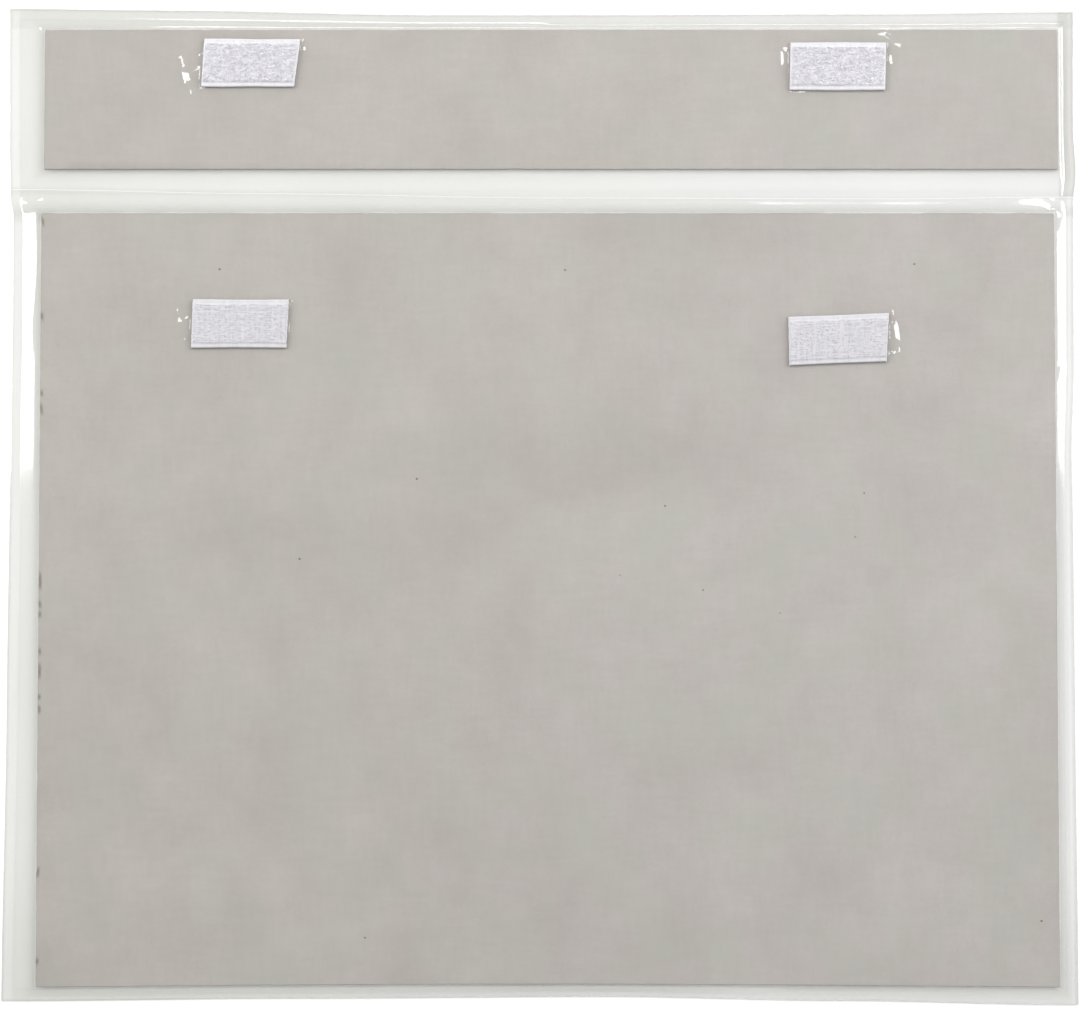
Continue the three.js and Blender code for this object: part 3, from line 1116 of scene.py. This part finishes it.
    def underside(self, board: Board, x: Array, y: Array, inset: Array, towards: int) -> Array:
        """Underside of a front sheet, lifted by its board, welded at its border and free at its mouth.

        Args:
            board: the board under the sheet.
            x: places across.
            y: places lengthwise.
            inset: distance in from the welded edges.
            towards: 1 where the slit is at the sheet's upper edge, -1 at its lower edge.

        Returns:
            The heights.
        """
        p = self.plan
        line = board.high_edge() + p.clearance if towards > 0 else board.low_edge(x) - p.clearance
        beyond = towards * (y - line)
        fall = beyond / (towards * (p.free_edge(x, towards) - line))
        reach = np.maximum(inset - p.welded(), 0.0)
        narrow = (x > 0.0) & (towards < 0)
        held = self.held_up(board, x, y, reach, narrow)
        level = self.held_up(board, x, np.zeros_like(y) + line, reach, narrow)
        sag = ease(fall, 0.0, 1.3)
        lift = p.mouth_lift * ease(reach, 0.0, p.mouth_ease)
        base = np.where(beyond <= 0.0, held, level * (1 - sag) + (p.film + lift) * sag)
        base = base + np.where(inset <= p.welded(), 0.0, self.swell(x, y, inset))
        flutter = soft_noise(x, y, 60.0, 21) * self.flutter * ease(fall) * ease(reach, 0.0, 20.0)
        return base + self.air + np.maximum(flutter, 0.0)

    def shading(self, board: Board, x: Array, y: Array, inset: Array, to_mouth: Array) -> Array:
        """How much the film darkens: painted shade at its cut edge, round its board, fold, slit, mouth and
        pads and towards the bottom, painted reflection bands in its waves, and a line beside the weld.

        Args:
            board: the board under the sheet.
            x: places across.
            y: places lengthwise.
            inset: distance in from the welded edges.
            to_mouth: distance to the free edge.

        Returns:
            The shares of the dark tone.
        """
        p, shades = self.plan, self.shades
        margin = board.outside(x, y)
        off_board = margin > 0.15
        away = self.pad_distance(x, y)
        # painted shade along the cut edge, and a darker line beside the weld
        shade = ridge(inset, 0.6) * shades.cut + ridge(inset - p.welded() - 1.1, 0.6) * shades.weld
        # painted shadow where the film climbs onto its board
        shade += (ridge(margin, 3.4) * shades.climb + ridge(margin, 1.2) * shades.board_edge) * off_board
        # painted shadow below the fold, along the slit and at the sheet's free edge
        fold_shadow = ease(y, -p.body_fold - 2.0, -p.body_fold) * ridge(y + p.body_fold, 4.2) * (y < 0.0)
        shade += fold_shadow * off_board * shades.fold + ridge(y - 1.5, 1.6) * shades.slit
        shade += ridge(to_mouth, 0.9) * shades.mouth
        # painted shade: the margins darker towards the bottom
        shade += ease(-y, 250.0, 318.0) * (margin > 0.0) * shades.lower_margin
        # painted contact shadows round the pads
        shade += (ridge(away, 0.8) + ridge(away, 2.6)) * shades.pad_shadow
        # painted reflections: darker and lighter bands along the waves
        for wave in self.waves:
            distance, share = near_path(x + self.dx, y + self.dy, wave.path)
            shade += wave.tone * tapered(share) * ridge(distance, wave.half)
        shade += shades.plain + soft_noise(x, y, 70.0, 31) * shades.uneven
        # painted shade: the whole sheet darker towards the bottom
        shade += ease(-y, 120.0, 318.0) * shades.lower_body
        flap_top = p.flap_length - p.flap_edge
        flap_right = p.width / 2 - p.flap_right
        # darker along the flap's top margin, and painted shade in its right margin where the film climbs onto
        # the board
        shade += ease(y, flap_top, flap_top + 1.0) * shades.flap_top
        shade += ease(x, flap_right, flap_right + 1.0) * (y > 0.0) * shades.flap_right
        return np.clip(shade, 0.0, 1.0)

    def fused(self, x: Array, y: Array) -> Array:
        """Where the two films are melted together and look clearer.

        Args:
            x: places across.
            y: places lengthwise.

        Returns:
            How clear they look, from 0 to 1: a wide band at the left, a thin line at the right.
        """
        left = x - self.plan.left(y)
        right = self.plan.right(y) - x
        on_flap = y > 0.0
        start = np.where(on_flap, 1.1, 0.1)
        wide = ease(left - start, 0.0, 0.6) * (1 - ease(left, 3.9, 4.5))
        thin = ease(right, 1.2, 1.6) * (1 - ease(right, 1.9, 2.4))
        return wide * (0.28 + 0.07 * on_flap) + thin * 0.6

    def back(self, finish: FilmFinish) -> bpy.types.Object:
        """The one sheet behind the whole folder.

        Args:
            finish: the film's finish.

        Returns:
            The sheet.
        """
        p = self.plan
        half = p.width / 2
        low, high = -p.body_length, p.flap_length
        border, fine = 6.0, 0.8
        sides = [(-half, -half + border, fine), (half - border, half, fine)]
        ends = [(low, low + border, fine), (high - border, high, fine), (-border, border, 1.0)]
        across = fine_lines(-half, half, self.back_step, sides)
        x, y = self.fitted(across, fine_lines(low, high, 5.0, ends), (p.bottom, p.top))
        inset = np.minimum(p.side_room(x, y), np.minimum(y - p.bottom(x), p.top(x) - y))
        # painted shade along the back sheet's cut edge
        shade = ridge(inset, 0.45) * self.shades.back_cut
        flat = np.zeros(x.shape)
        return self.sheet("back_sheet", finish, x, y, flat, flat + p.film, shade, False)


# The boards

@dataclass
class Stiffeners:
    """The two chipboard stiffeners, with rough cut edges, painted shade at small nicks and dark flecks.

    The nicks are the places along the left edge, with painted shade, and their half lengths; marks the places
    and radii of the flecks.
    """

    plan: FolderPlan
    step: float = 0.9
    edge_round: float = 0.18
    # painted shade on the cut walls and on the top rim
    edge_shade: float = 0.1
    rim_shade: float = 0.06
    # how dark the painted shade of the nicks gets, and how far in from the left edge it reaches
    nick_shadow_level: float = 0.9
    nick_reach: float = 1.5
    fleck_sides: int = 9
    fleck_depth: float = 0.05
    fleck_rise: float = 0.012
    fleck_stretch: float = 1.2
    shaded_nicks: Sequence[tuple[float, float]] = (
        (112.7, 1.5), (74.8, 1.4), (44.1, 1.2), (37.7, 2.0), (-30.8, 3.4), (-40.1, 1.4), (-44.0, 1.2),
        (-58.7, 1.4), (-66.5, 3.0), (-76.8, 1.1), (-81.7, 1.6), (-146.0, 1.8), (-181.0, 1.2),
    )
    roughness: float = 0.10
    marks: Sequence[tuple[float, float, float]] = (
        (-96.0, -22.1, 0.42), (63.6, -34.4, 0.34), (30.7, -28.5, 0.30), (48.6, -1.1, 0.38),
        (127.5, 4.0, 0.34), (-49.7, 9.6, 0.40), (-128.2, 93.1, 0.42), (9.0, 92.7, 0.36), (147.8, 95.1, 0.40),
        (196.4, -164.6, 0.45), (-69.8, -171.2, 0.36), (123.8, -13.4, 0.32), (94.0, -43.5, 0.32),
    )

    def nick_shadows(self, board: Board, x: Array, y: Array, shift: float) -> Array:
        """How dark the painted shade is at small nicks along the board's left edge, in the CAD frame.

        Args:
            board: the board.
            x: places across.
            y: places lengthwise.
            shift: what moves the drawing across onto the CAD frame.

        Returns:
            The shares of the dark tone.
        """
        edge = board.x + shift - board.width / 2
        # painted shade in small nicks along the top of the left edge
        spots = sum(np.exp(-(((y - place) / half) ** 4)) for place, half in self.shaded_nicks)
        return np.minimum(spots, 1.0) * (np.abs(x - edge) < 0.5) * self.nick_shadow_level

    def outline(self, board: Board, seed: int) -> Array:
        """A board's outline, counter-clockwise, with the unevenness of a rough cut.

        Args:
            board: the board.
            seed: the pattern's seed.

        Returns:
            The points.
        """
        hw = board.width / 2
        xs = np.arange(-hw, hw, self.step)
        low = np.stack([xs + board.x, board.low_edge(xs + board.x)], -1)
        start = board.low_edge(np.array([board.x + hw]))[0]
        ys = np.arange(start, board.high_edge(), self.step)
        right = np.stack([np.full_like(ys, board.x + hw), ys], -1)
        top = np.stack([board.x - xs, np.full_like(xs, board.high_edge())], -1)
        left = np.stack([np.full_like(ys, board.x - hw), board.high_edge() - (ys - start)], -1)
        outward = [(0.0, -1.0)] * len(low) + [(1.0, 0.0)] * len(right)
        outward += [(0.0, 1.0)] * len(top) + [(-1.0, 0.0)] * len(left)
        points = np.concatenate([low, right, top, left])
        rng = np.random.default_rng(seed)
        grain = rng.normal(0.0, 1.0, len(points))
        ragged = grain * 0.5 + soft_noise(points[:, 0], points[:, 1], 9.0, seed) * 0.6
        depth = np.clip(ragged * self.roughness, -0.22, 0.05)
        return points + np.array(outward) * depth[:, None]

    def build(self, node: str, board: Board, seed: int, material: bpy.types.Material) -> bpy.types.Object:
        """One board with softened edges.

        Args:
            node: the CAD node that it stands for.
            board: its outline.
            seed: the seed of its rough cut.
            material: the chipboard's material.

        Returns:
            The board.
        """
        p = self.plan
        dx, dy = p.shift()
        points = self.outline(board, seed)
        middle = np.array([board.x, board.y])
        r = self.edge_round
        # the walls and top rim carry painted shade; the nicks' painted shade stops at the last ring
        rings = [
            (r, 0.0, self.edge_shade), (0.0, r, self.edge_shade), (0.0, p.board - r, self.edge_shade),
            (r, p.board, self.rim_shade), (self.step, p.board, 0.0), (self.nick_reach, p.board, 0.0),
        ]
        count = len(points)
        jitter = 0.6 + 0.4 * soft_noise(points[:, 0], points[:, 1], 25.0, seed + 1)
        # painted shade of the nicks
        spots = self.nick_shadows(board, points[:, 0] + dx, points[:, 1] + dy, dx)
        levels = []
        shades = []
        for inward, height, shade in rings:
            shrink = 1.0 - 2.0 * inward / np.array([board.width, board.length])
            place = middle + (points - middle) * shrink
            levels.append(np.column_stack([place + (dx, dy), np.full(count, p.film + height)]))
            upper_edge = (height > p.board / 2) * (inward < self.nick_reach)
            shades.append(np.clip(shade * jitter + spots * upper_edge, 0.0, 1.0))
        faces = []
        for below in range(0, (len(rings) - 1) * count, count):
            for i in range(count):
                j = (i + 1) % count
                faces.append((below + i, below + j, below + count + j, below + count + i))
        last = (len(rings) - 1) * count
        faces += [tuple(range(count - 1, -1, -1)), tuple(range(last, last + count))]
        marks = {"shade": np.concatenate(shades)}
        piece = mesh_piece(f"{node}_chipboard", np.concatenate(levels), faces, marks, False)
        dress(piece, "greyboard", material)
        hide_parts(node)
        return piece

    def flecks(self, material: bpy.types.Material) -> bpy.types.Object:
        """Dark flecks pressed into the large board, as thin uneven flakes.

        Args:
            material: the flecks' material.

        Returns:
            The flecks.
        """
        rng = np.random.default_rng(17)
        top = self.plan.board_top()
        sides = self.fleck_sides
        verts = []
        faces = []
        for x, y, radius in self.marks:
            base = len(verts)
            for level in (top - self.fleck_depth, top + self.fleck_rise):
                for k in range(sides):
                    angle = math.tau * k / sides
                    reach = radius * rng.uniform(0.65, 1.15)
                    across = x + reach * math.cos(angle) * self.fleck_stretch
                    verts.append((across, y + reach * math.sin(angle), level))
            for k in range(sides):
                j = (k + 1) % sides
                faces.append((base + k, base + j, base + sides + j, base + sides + k))
            faces.append(tuple(base + k for k in range(sides - 1, -1, -1)))
            faces.append(tuple(base + sides + k for k in range(sides)))
        piece = mesh_piece("board_flecks", np.array(verts), faces, None, False)
        dress(piece, "greyboard", material)
        return piece


# Geometry Nodes

class NodeKit:
    """A Geometry Nodes tree with named inputs, and the modifier that runs it."""

    def __init__(self, name: str) -> None:
        """Starts a tree that takes and gives geometry.

        Args:
            name: the tree's name, which the result gets too.
        """
        self.name = name
        self.tree = bpy.data.node_groups.new(name, "GeometryNodeTree")
        self.tree.interface.new_socket("Geometry", in_out="INPUT", socket_type="NodeSocketGeometry")
        self.tree.interface.new_socket("Geometry", in_out="OUTPUT", socket_type="NodeSocketGeometry")
        self.start = self.tree.nodes.new("NodeGroupInput")
        self.end = self.tree.nodes.new("NodeGroupOutput")
        self.values: dict[str, float] = {}

    def number(self, name: str, value: float) -> Any:
        """Adds a named input.

        Args:
            name: the input's name.
            value: the value that the modifier gives it.

        Returns:
            The input's socket inside the tree.
        """
        item = self.tree.interface.new_socket(name, in_out="INPUT", socket_type="NodeSocketFloat")
        self.values[item.identifier] = value
        return next(s for s in self.start.outputs if s.identifier == item.identifier)

    def add(self, kind: str, inputs: dict[Any, Any], settings: dict[str, Any] | None = None) -> Any:
        """Adds one node and gives its first output.

        Args:
            kind: the node's type.
            inputs: values or sockets for its inputs, by name or number.
            settings: its settings.

        Returns:
            The node's first output.
        """
        node = self.tree.nodes.new(kind)
        for name, value in (settings or {}).items():
            setattr(node, name, value)
        for name, value in inputs.items():
            if isinstance(value, bpy.types.NodeSocket):
                self.tree.links.new(value, node.inputs[name])
            else:
                node.inputs[name].default_value = value
        return node.outputs[0]

    def scatter(self, low: Sequence[float], high: Sequence[float], seed: int) -> Any:
        """A random vector for each place, between two corners."""
        inputs = {"Min": low, "Max": high, "Seed": seed}
        return self.add("FunctionNodeRandomValue", inputs, {"data_type": "FLOAT_VECTOR"})

    def filament(self, ends: Sequence[Sequence[float]], radius: Any, sides: int, steps: int) -> Any:
        """One bent filament with closed ends.

        Args:
            ends: its start, the two handles that bend it, and its end.
            radius: the socket of its radius.
            sides: its number of sides.
            steps: its number of steps along the bend.

        Returns:
            The socket of its mesh.
        """
        inputs = dict(zip(("Start", "Start Handle", "End Handle", "End"), ends), Resolution=steps)
        bend = self.add("GeometryNodeCurvePrimitiveBezierSegment", inputs)
        round_wire = self.add("GeometryNodeCurvePrimitiveCircle", {"Resolution": sides, "Radius": radius})
        return self.add("GeometryNodeCurveToMesh", {0: bend, 1: round_wire, "Fill Caps": True})

    def run(self, geometry: Any, material: bpy.types.Material) -> bpy.types.Object:
        """Ends the tree, runs it on an empty mesh and keeps the result as a plain mesh.

        Args:
            geometry: the socket of the instances.
            material: the result's material.

        Returns:
            A new object that holds the result.
        """
        real = self.add("GeometryNodeRealizeInstances", {0: geometry})
        made = self.add("GeometryNodeSetMaterial", {"Geometry": real, "Material": material})
        self.tree.links.new(made, self.end.inputs[0])
        seat = bpy.data.objects.new(f"{self.name}_seat", bpy.data.meshes.new(f"{self.name}_seat"))
        bpy.context.scene.collection.objects.link(seat)
        modifier = seat.modifiers.new(self.name, "NODES")
        modifier.node_group = self.tree
        for identifier, value in self.values.items():
            modifier[identifier] = value
        graph = bpy.context.evaluated_depsgraph_get()
        graph.update()
        mesh = bpy.data.meshes.new_from_object(seat.evaluated_get(graph))
        seat.modifiers.remove(modifier)
        bpy.data.objects.remove(seat)
        result = bpy.data.objects.new(self.name, mesh)
        bpy.context.scene.collection.objects.link(result)
        return result


# The pads

@dataclass
class TapePads:
    """Hook and loop pads: a woven ground with selvages, and its hooks or loops.

    Lengths are in millimetres. Air is the thin gap between pieces that lie on each other.
    """

    plan: FolderPlan
    air: float = 0.04
    ground: float = 0.9
    selvage: float = 1.7
    pile_floor: float = 0.3
    pile_share: float = 0.4
    rooted: float = 0.12
    steps: tuple[int, int] = (150, 84)
    hook_pitch: float = 0.95
    hook_column: float = 1.95
    hook_height: float = 0.7
    hook_wire: float = 0.13
    hook_bare: tuple[float, float] = (1.6, 1.0)
    hook_stray: tuple[float, float] = (0.55, 0.3)
    hook_rise: float = 0.1
    hook_turn: tuple[float, float, float] = (0.12, 0.1, 0.45)
    loop_density: float = 5.2
    loop_height: float = 1.15
    loop_bend: float = 0.42
    loop_wire: float = 0.07
    loop_bare: tuple[float, float] = (1.2, 0.6)
    bend_steps: int = 7

    def outline(self, pad: Pad, u: Array, v: Array) -> tuple[Array, Array]:
        """Moves places on a pad, from its own middle, into the CAD frame.

        Args:
            pad: the pad.
            u: places along it.
            v: places across it.

        Returns:
            The places across and lengthwise in the CAD frame.
        """
        length = self.plan.pad_length + pad.spare
        px, py = self.plan.pad_middle(pad)
        dx, dy = self.plan.shift()
        share = v / self.plan.tape_width
        slanted = u * (1.0 + pad.slant * share / length) + pad.lean * share
        turn = math.radians(pad.turn)
        x = px + dx + slanted * math.cos(turn) - v * math.sin(turn)
        y = py + dy + slanted * math.sin(turn) + v * math.cos(turn)
        return x, y

    def pile(self, pad: Pad) -> float:
        """How far the woven field stands above the selvages."""
        return self.pile_floor if pad.weave is Weave.HOOK else self.loop_height * self.pile_share

    def relief(self, pad: Pad, u: Array, v: Array, seed: int) -> Array:
        """Height of a pad's ground over its bottom, with its edge cords and rounded edges.

        Args:
            pad: the pad.
            u: places along it.
            v: places across it.
            seed: the seed of its unevenness.

        Returns:
            The heights.
        """
        half = self.plan.tape_width / 2
        length = self.plan.pad_length + pad.spare
        field_edge = half - self.selvage
        inner = 1.0 - ease(np.abs(v), field_edge - 0.9, field_edge + 0.5)
        cord = np.exp(-(((np.abs(v) - field_edge - 1.0) / 0.5) ** 2)) * 0.05
        fluff = soft_noise(u, v, 1.7, seed) * 0.03 + soft_noise(u, v, 5.0, seed + 9) * 0.05
        lumps = fluff if pad.weave is Weave.LOOP else fluff * 0.25
        height = self.ground + cord + inner * (self.pile(pad) + lumps)
        end_round = ease(length / 2 - np.abs(u), 0.0, 0.35)
        side_round = ease(half - np.abs(v), 0.0, 0.3)
        return height * (0.55 + 0.45 * end_round) * (0.6 + 0.4 * side_round)

    def build(self, pad: Pad) -> None:
        """Builds one pad's ground and its hooks or loops.

        Args:
            pad: the pad.
        """
        p = self.plan
        length = p.pad_length + pad.spare
        seed = 40 + p.pads().index(pad)
        us = np.linspace(-length / 2, length / 2, self.steps[0])
        vs = np.linspace(-p.tape_width / 2, p.tape_width / 2, self.steps[1])
        u, v = np.meshgrid(us, vs, indexing="ij")
        at_end = ease(np.abs(u), length / 2 - 0.6, length / 2)
        at_side = ease(np.abs(v), 6.0, p.tape_width / 2)
        frayed = soft_noise(v * 3.0, u * 0.0, 2.2, seed + 3) * 0.12 * at_end
        ripple = soft_noise(u * 0.7, v * 0.0, 17.0, seed + 5) * 0.22 * at_side
        x, y = self.outline(pad, u + frayed * np.sign(u), v + ripple * np.sign(v) * 0.5)
        bottom = p.board_top() + p.film + self.air
        height = self.relief(pad, u, v, seed)
        ground = closed_grid(f"{pad.node}_ground", x, y, np.full(x.shape, bottom), bottom + height)
        layer = ground.data.uv_layers.new(name="tape")
        spots = np.concatenate([np.stack([u, v], -1).reshape(-1, 2)] * 2)
        loops = np.zeros(len(ground.data.loops), dtype=np.int32)
        ground.data.loops.foreach_get("vertex_index", loops)
        layer.data.foreach_set("uv", spots[loops].astype(np.float32).ravel())
        dress(ground, f"{pad.weave.value}_tape", TapeFinish(pad.weave).material())
        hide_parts(pad.node)
        filaments = self.hooks(pad, seed) if pad.weave is Weave.HOOK else self.loops(pad, seed)
        self.settle(filaments, pad, bottom + self.ground + self.pile(pad) - self.rooted)
        dress(filaments, f"{pad.weave.value}_tape")

    def settle(self, piece: bpy.types.Object, pad: Pad, lift: float) -> None:
        """Moves filaments from the pad's own middle to their place on the pad.

        Args:
            piece: the filaments.
            pad: the pad.
            lift: the height of their feet.
        """
        count = len(piece.data.vertices)
        co = np.zeros(count * 3, dtype=np.float32)
        piece.data.vertices.foreach_get("co", co)
        co = co.reshape(-1, 3) / MM
        x, y = self.outline(pad, co[:, 0], co[:, 1])
        moved = np.stack([x, y, co[:, 2] + lift], -1) * MM
        piece.data.vertices.foreach_set("co", moved.astype(np.float32).ravel())
        piece.data.update()

    def field(self, kit: NodeKit, pad: Pad, bare: tuple[float, float], columns: int, rows: int) -> Any:
        """The flat field that the filaments stand on.

        Args:
            kit: the tree.
            pad: the pad.
            bare: what stays bare of the length, and of the width inside the selvages.
            columns: points along the field, or 0 for one to each hook.
            rows: points across it, or 0 for one to each hook.

        Returns:
            The socket of the grid.
        """
        length = self.plan.pad_length + pad.spare - bare[0]
        width = self.plan.tape_width - 2 * self.selvage - bare[1]
        return kit.add("GeometryNodeMeshGrid", {
            "Size X": kit.number("Field length", length * MM),
            "Size Y": kit.number("Field width", width * MM),
            "Vertices X": columns or round(length / self.hook_column),
            "Vertices Y": rows or round(width / self.hook_pitch),
        })

    def hooks(self, pad: Pad, seed: int) -> bpy.types.Object:
        """Rows of small bent hooks, each a filament that curls over.

        Args:
            pad: the pad.
            seed: the seed of their unevenness.

        Returns:
            The hooks.
        """
        kit = NodeKit(f"{pad.node}_hooks")
        grid = self.field(kit, pad, self.hook_bare, 0, 0)
        stray_x, stray_y = (stray * MM for stray in self.hook_stray)
        offset = kit.scatter((-stray_x, -stray_y, 0.0), (stray_x, stray_y, self.hook_rise * MM), seed)
        places = kit.add("GeometryNodeSetPosition", {"Geometry": grid, "Offset": offset})
        h = self.hook_height * MM
        handles = ((-0.0001, 0.0, h * 1.35), (h * 0.55, 0.0, h * 1.45))
        ends = ((0.0, 0.0, 0.0), *handles, (h * 0.5, 0.0, h * 0.55))
        wire = kit.number("Filament radius", self.hook_wire * MM)
        hook = kit.filament(ends, wire, 5, self.bend_steps)
        turn = kit.scatter([-angle for angle in self.hook_turn], self.hook_turn, seed + 1)
        made = kit.add("GeometryNodeInstanceOnPoints", {"Points": places, "Instance": hook, "Rotation": turn})
        return kit.run(made, FilamentFinish(pad.weave).material())

    def loops(self, pad: Pad, seed: int) -> bpy.types.Object:
        """A brushed nap of small loops, each an arch of filament.

        Args:
            pad: the pad.
            seed: the seed of their scatter.

        Returns:
            The loops.
        """
        kit = NodeKit(f"{pad.node}_loops")
        grid = self.field(kit, pad, self.loop_bare, 2, 2)
        wire = kit.number("Filament radius", self.loop_wire * MM)
        density = kit.number("Loops to the square metre", self.loop_density * 1e6)
        spread = {"Mesh": grid, "Density": density, "Seed": seed}
        places = kit.add("GeometryNodeDistributePointsOnFaces", spread)
        h = self.loop_height * MM * self.loop_bend
        foot = h * 0.5
        sunk = -h * 0.2
        handles = ((-h * 0.9, h * 0.3, h * 1.2), (h * 0.9, -h * 0.3, h * 1.2))
        ends = ((-foot, 0.0, sunk), *handles, (foot, 0.0, sunk))
        loop = kit.filament(ends, wire, 4, self.bend_steps)
        tilt = kit.scatter((-0.9, -0.6, 0.0), (0.9, 0.6, math.tau), seed + 1)
        size = kit.scatter((0.6, 0.6, 0.5), (1.4, 1.4, 1.15), seed + 2)
        inputs = {"Points": places, "Instance": loop, "Rotation": tilt, "Scale": size}
        return kit.run(kit.add("GeometryNodeInstanceOnPoints", inputs), FilamentFinish(pad.weave).material())


# The studio

@dataclass
class Studio:
    """White floor, soft lamps and the camera that looks almost straight down, in metres and watts."""

    distance: float = 1.2
    view_width: float = 0.4280
    tilt: float = 2.65
    aim: tuple[float, float, float] = (-0.0009, -0.0013, 0.001)
    world_level: float = 0.42
    lamp_aim: float = 0.5
    sensor: float = 36.0
    floor_reach: float = 4.0
    floor_drop: float = 0.0003
    side_lamp: tuple[float, float, float] = (1.75, 0.5, 0.95)
    side_lamp_size: tuple[float, float] = (0.75, 1.9)
    side_lamp_power: float = 32.5
    far_lamp: tuple[float, float, float] = (0.1, 1.15, 1.2)
    far_lamp_size: tuple[float, float] = (0.9, 0.4)
    far_lamp_power: float = 7.0

    def camera(self) -> None:
        """Places the camera."""
        data = bpy.data.cameras.new("studio_camera")
        data.sensor_width = self.sensor
        data.lens = self.sensor * self.distance / self.view_width
        camera = bpy.data.objects.new("studio_camera", data)
        bpy.context.scene.collection.objects.link(camera)
        tilt = math.radians(self.tilt)
        back = Vector((0.0, -math.sin(tilt), math.cos(tilt)))
        place = Matrix.Translation(Vector(self.aim) + back * self.distance)
        camera.matrix_world = place @ Matrix.Rotation(tilt, 4, "X")
        bpy.context.scene.camera = camera

    def lamp(self, name: str, place: Sequence[float], size: Sequence[float], power: float) -> None:
        """Adds one soft rectangular lamp aimed at the folder.

        Args:
            name: the lamp's name.
            place: where it hangs.
            size: its width and length.
            power: its power.
        """
        data = bpy.data.lights.new(name, "AREA")
        data.shape = "RECTANGLE"
        data.size, data.size_y = size
        data.energy = power
        lamp = bpy.data.objects.new(name, data)
        bpy.context.scene.collection.objects.link(lamp)
        lamp.location = place
        aim = Vector((0.0, min(place[1], self.lamp_aim), 0.0)) - Vector(place)
        lamp.rotation_euler = aim.to_track_quat("-Z", "Y").to_euler()

    def world(self) -> None:
        """Gives the studio its even light."""
        world = bpy.data.worlds.new("studio_world")
        world.use_nodes = True
        back = world.node_tree.nodes["Background"]
        back.inputs["Color"].default_value = (1.0, 1.0, 1.0, 1.0)
        back.inputs["Strength"].default_value = self.world_level
        bpy.context.scene.world = world

    def floor(self) -> None:
        """Lays the floor."""
        r = self.floor_reach
        mesh = bpy.data.meshes.new("studio_floor")
        corners = [(x, y, -self.floor_drop) for x, y in ((-r, -r), (r, -r), (r, r), (-r, r))]
        mesh.from_pydata(corners, [], [(0, 1, 2, 3)])
        mesh.materials.append(FloorFinish().material())
        floor = bpy.data.objects.new("studio_floor", mesh)
        bpy.context.scene.collection.objects.link(floor)

    def build(self) -> None:
        """Sets up the camera, the light and the floor."""
        self.camera()
        self.world()
        self.floor()
        x, y, z = self.side_lamp
        self.lamp("left_softbox", (-x, y, z), self.side_lamp_size, self.side_lamp_power)
        self.lamp("right_softbox", (x, y, z), self.side_lamp_size, self.side_lamp_power)
        self.lamp("far_softbox", self.far_lamp, self.far_lamp_size, self.far_lamp_power)
        bpy.context.scene.view_settings.view_transform = "Standard"


def main() -> None:
    """Builds the folder and the studio round it."""
    logging.basicConfig(level=logging.INFO, format="%(name)s: %(message)s")
    Studio().build()
    plan = FolderPlan()
    sheets = FilmSheets(plan)
    front = FilmFinish("clear_film_front")
    sheets.back(FilmFinish("clear_film_back"))
    sheets.skin("pocket_sheet", plan.body_board(), 1, front)
    sheets.skin("flap_sheet", plan.flap_board(), -1, front)
    boards = Stiffeners(plan)
    chipboard = BoardFinish().material()
    for node, board, seed in (("body_board", plan.body_board(), 71), ("flap_board", plan.flap_board(), 83)):
        boards.build(node, board, seed, chipboard)
    fleck = (0.20, 0.18, 0.15, 1.0)
    speckle = BoardFinish("board_fleck", fleck, (0.12, 0.105, 0.09, 1.0), fleck, (0.06, 0.05, 0.045, 1.0))
    boards.flecks(speckle.material())
    pads = TapePads(plan)
    for pad in plan.pads():
        pads.build(pad)


if __name__ == "__main__":
    main()
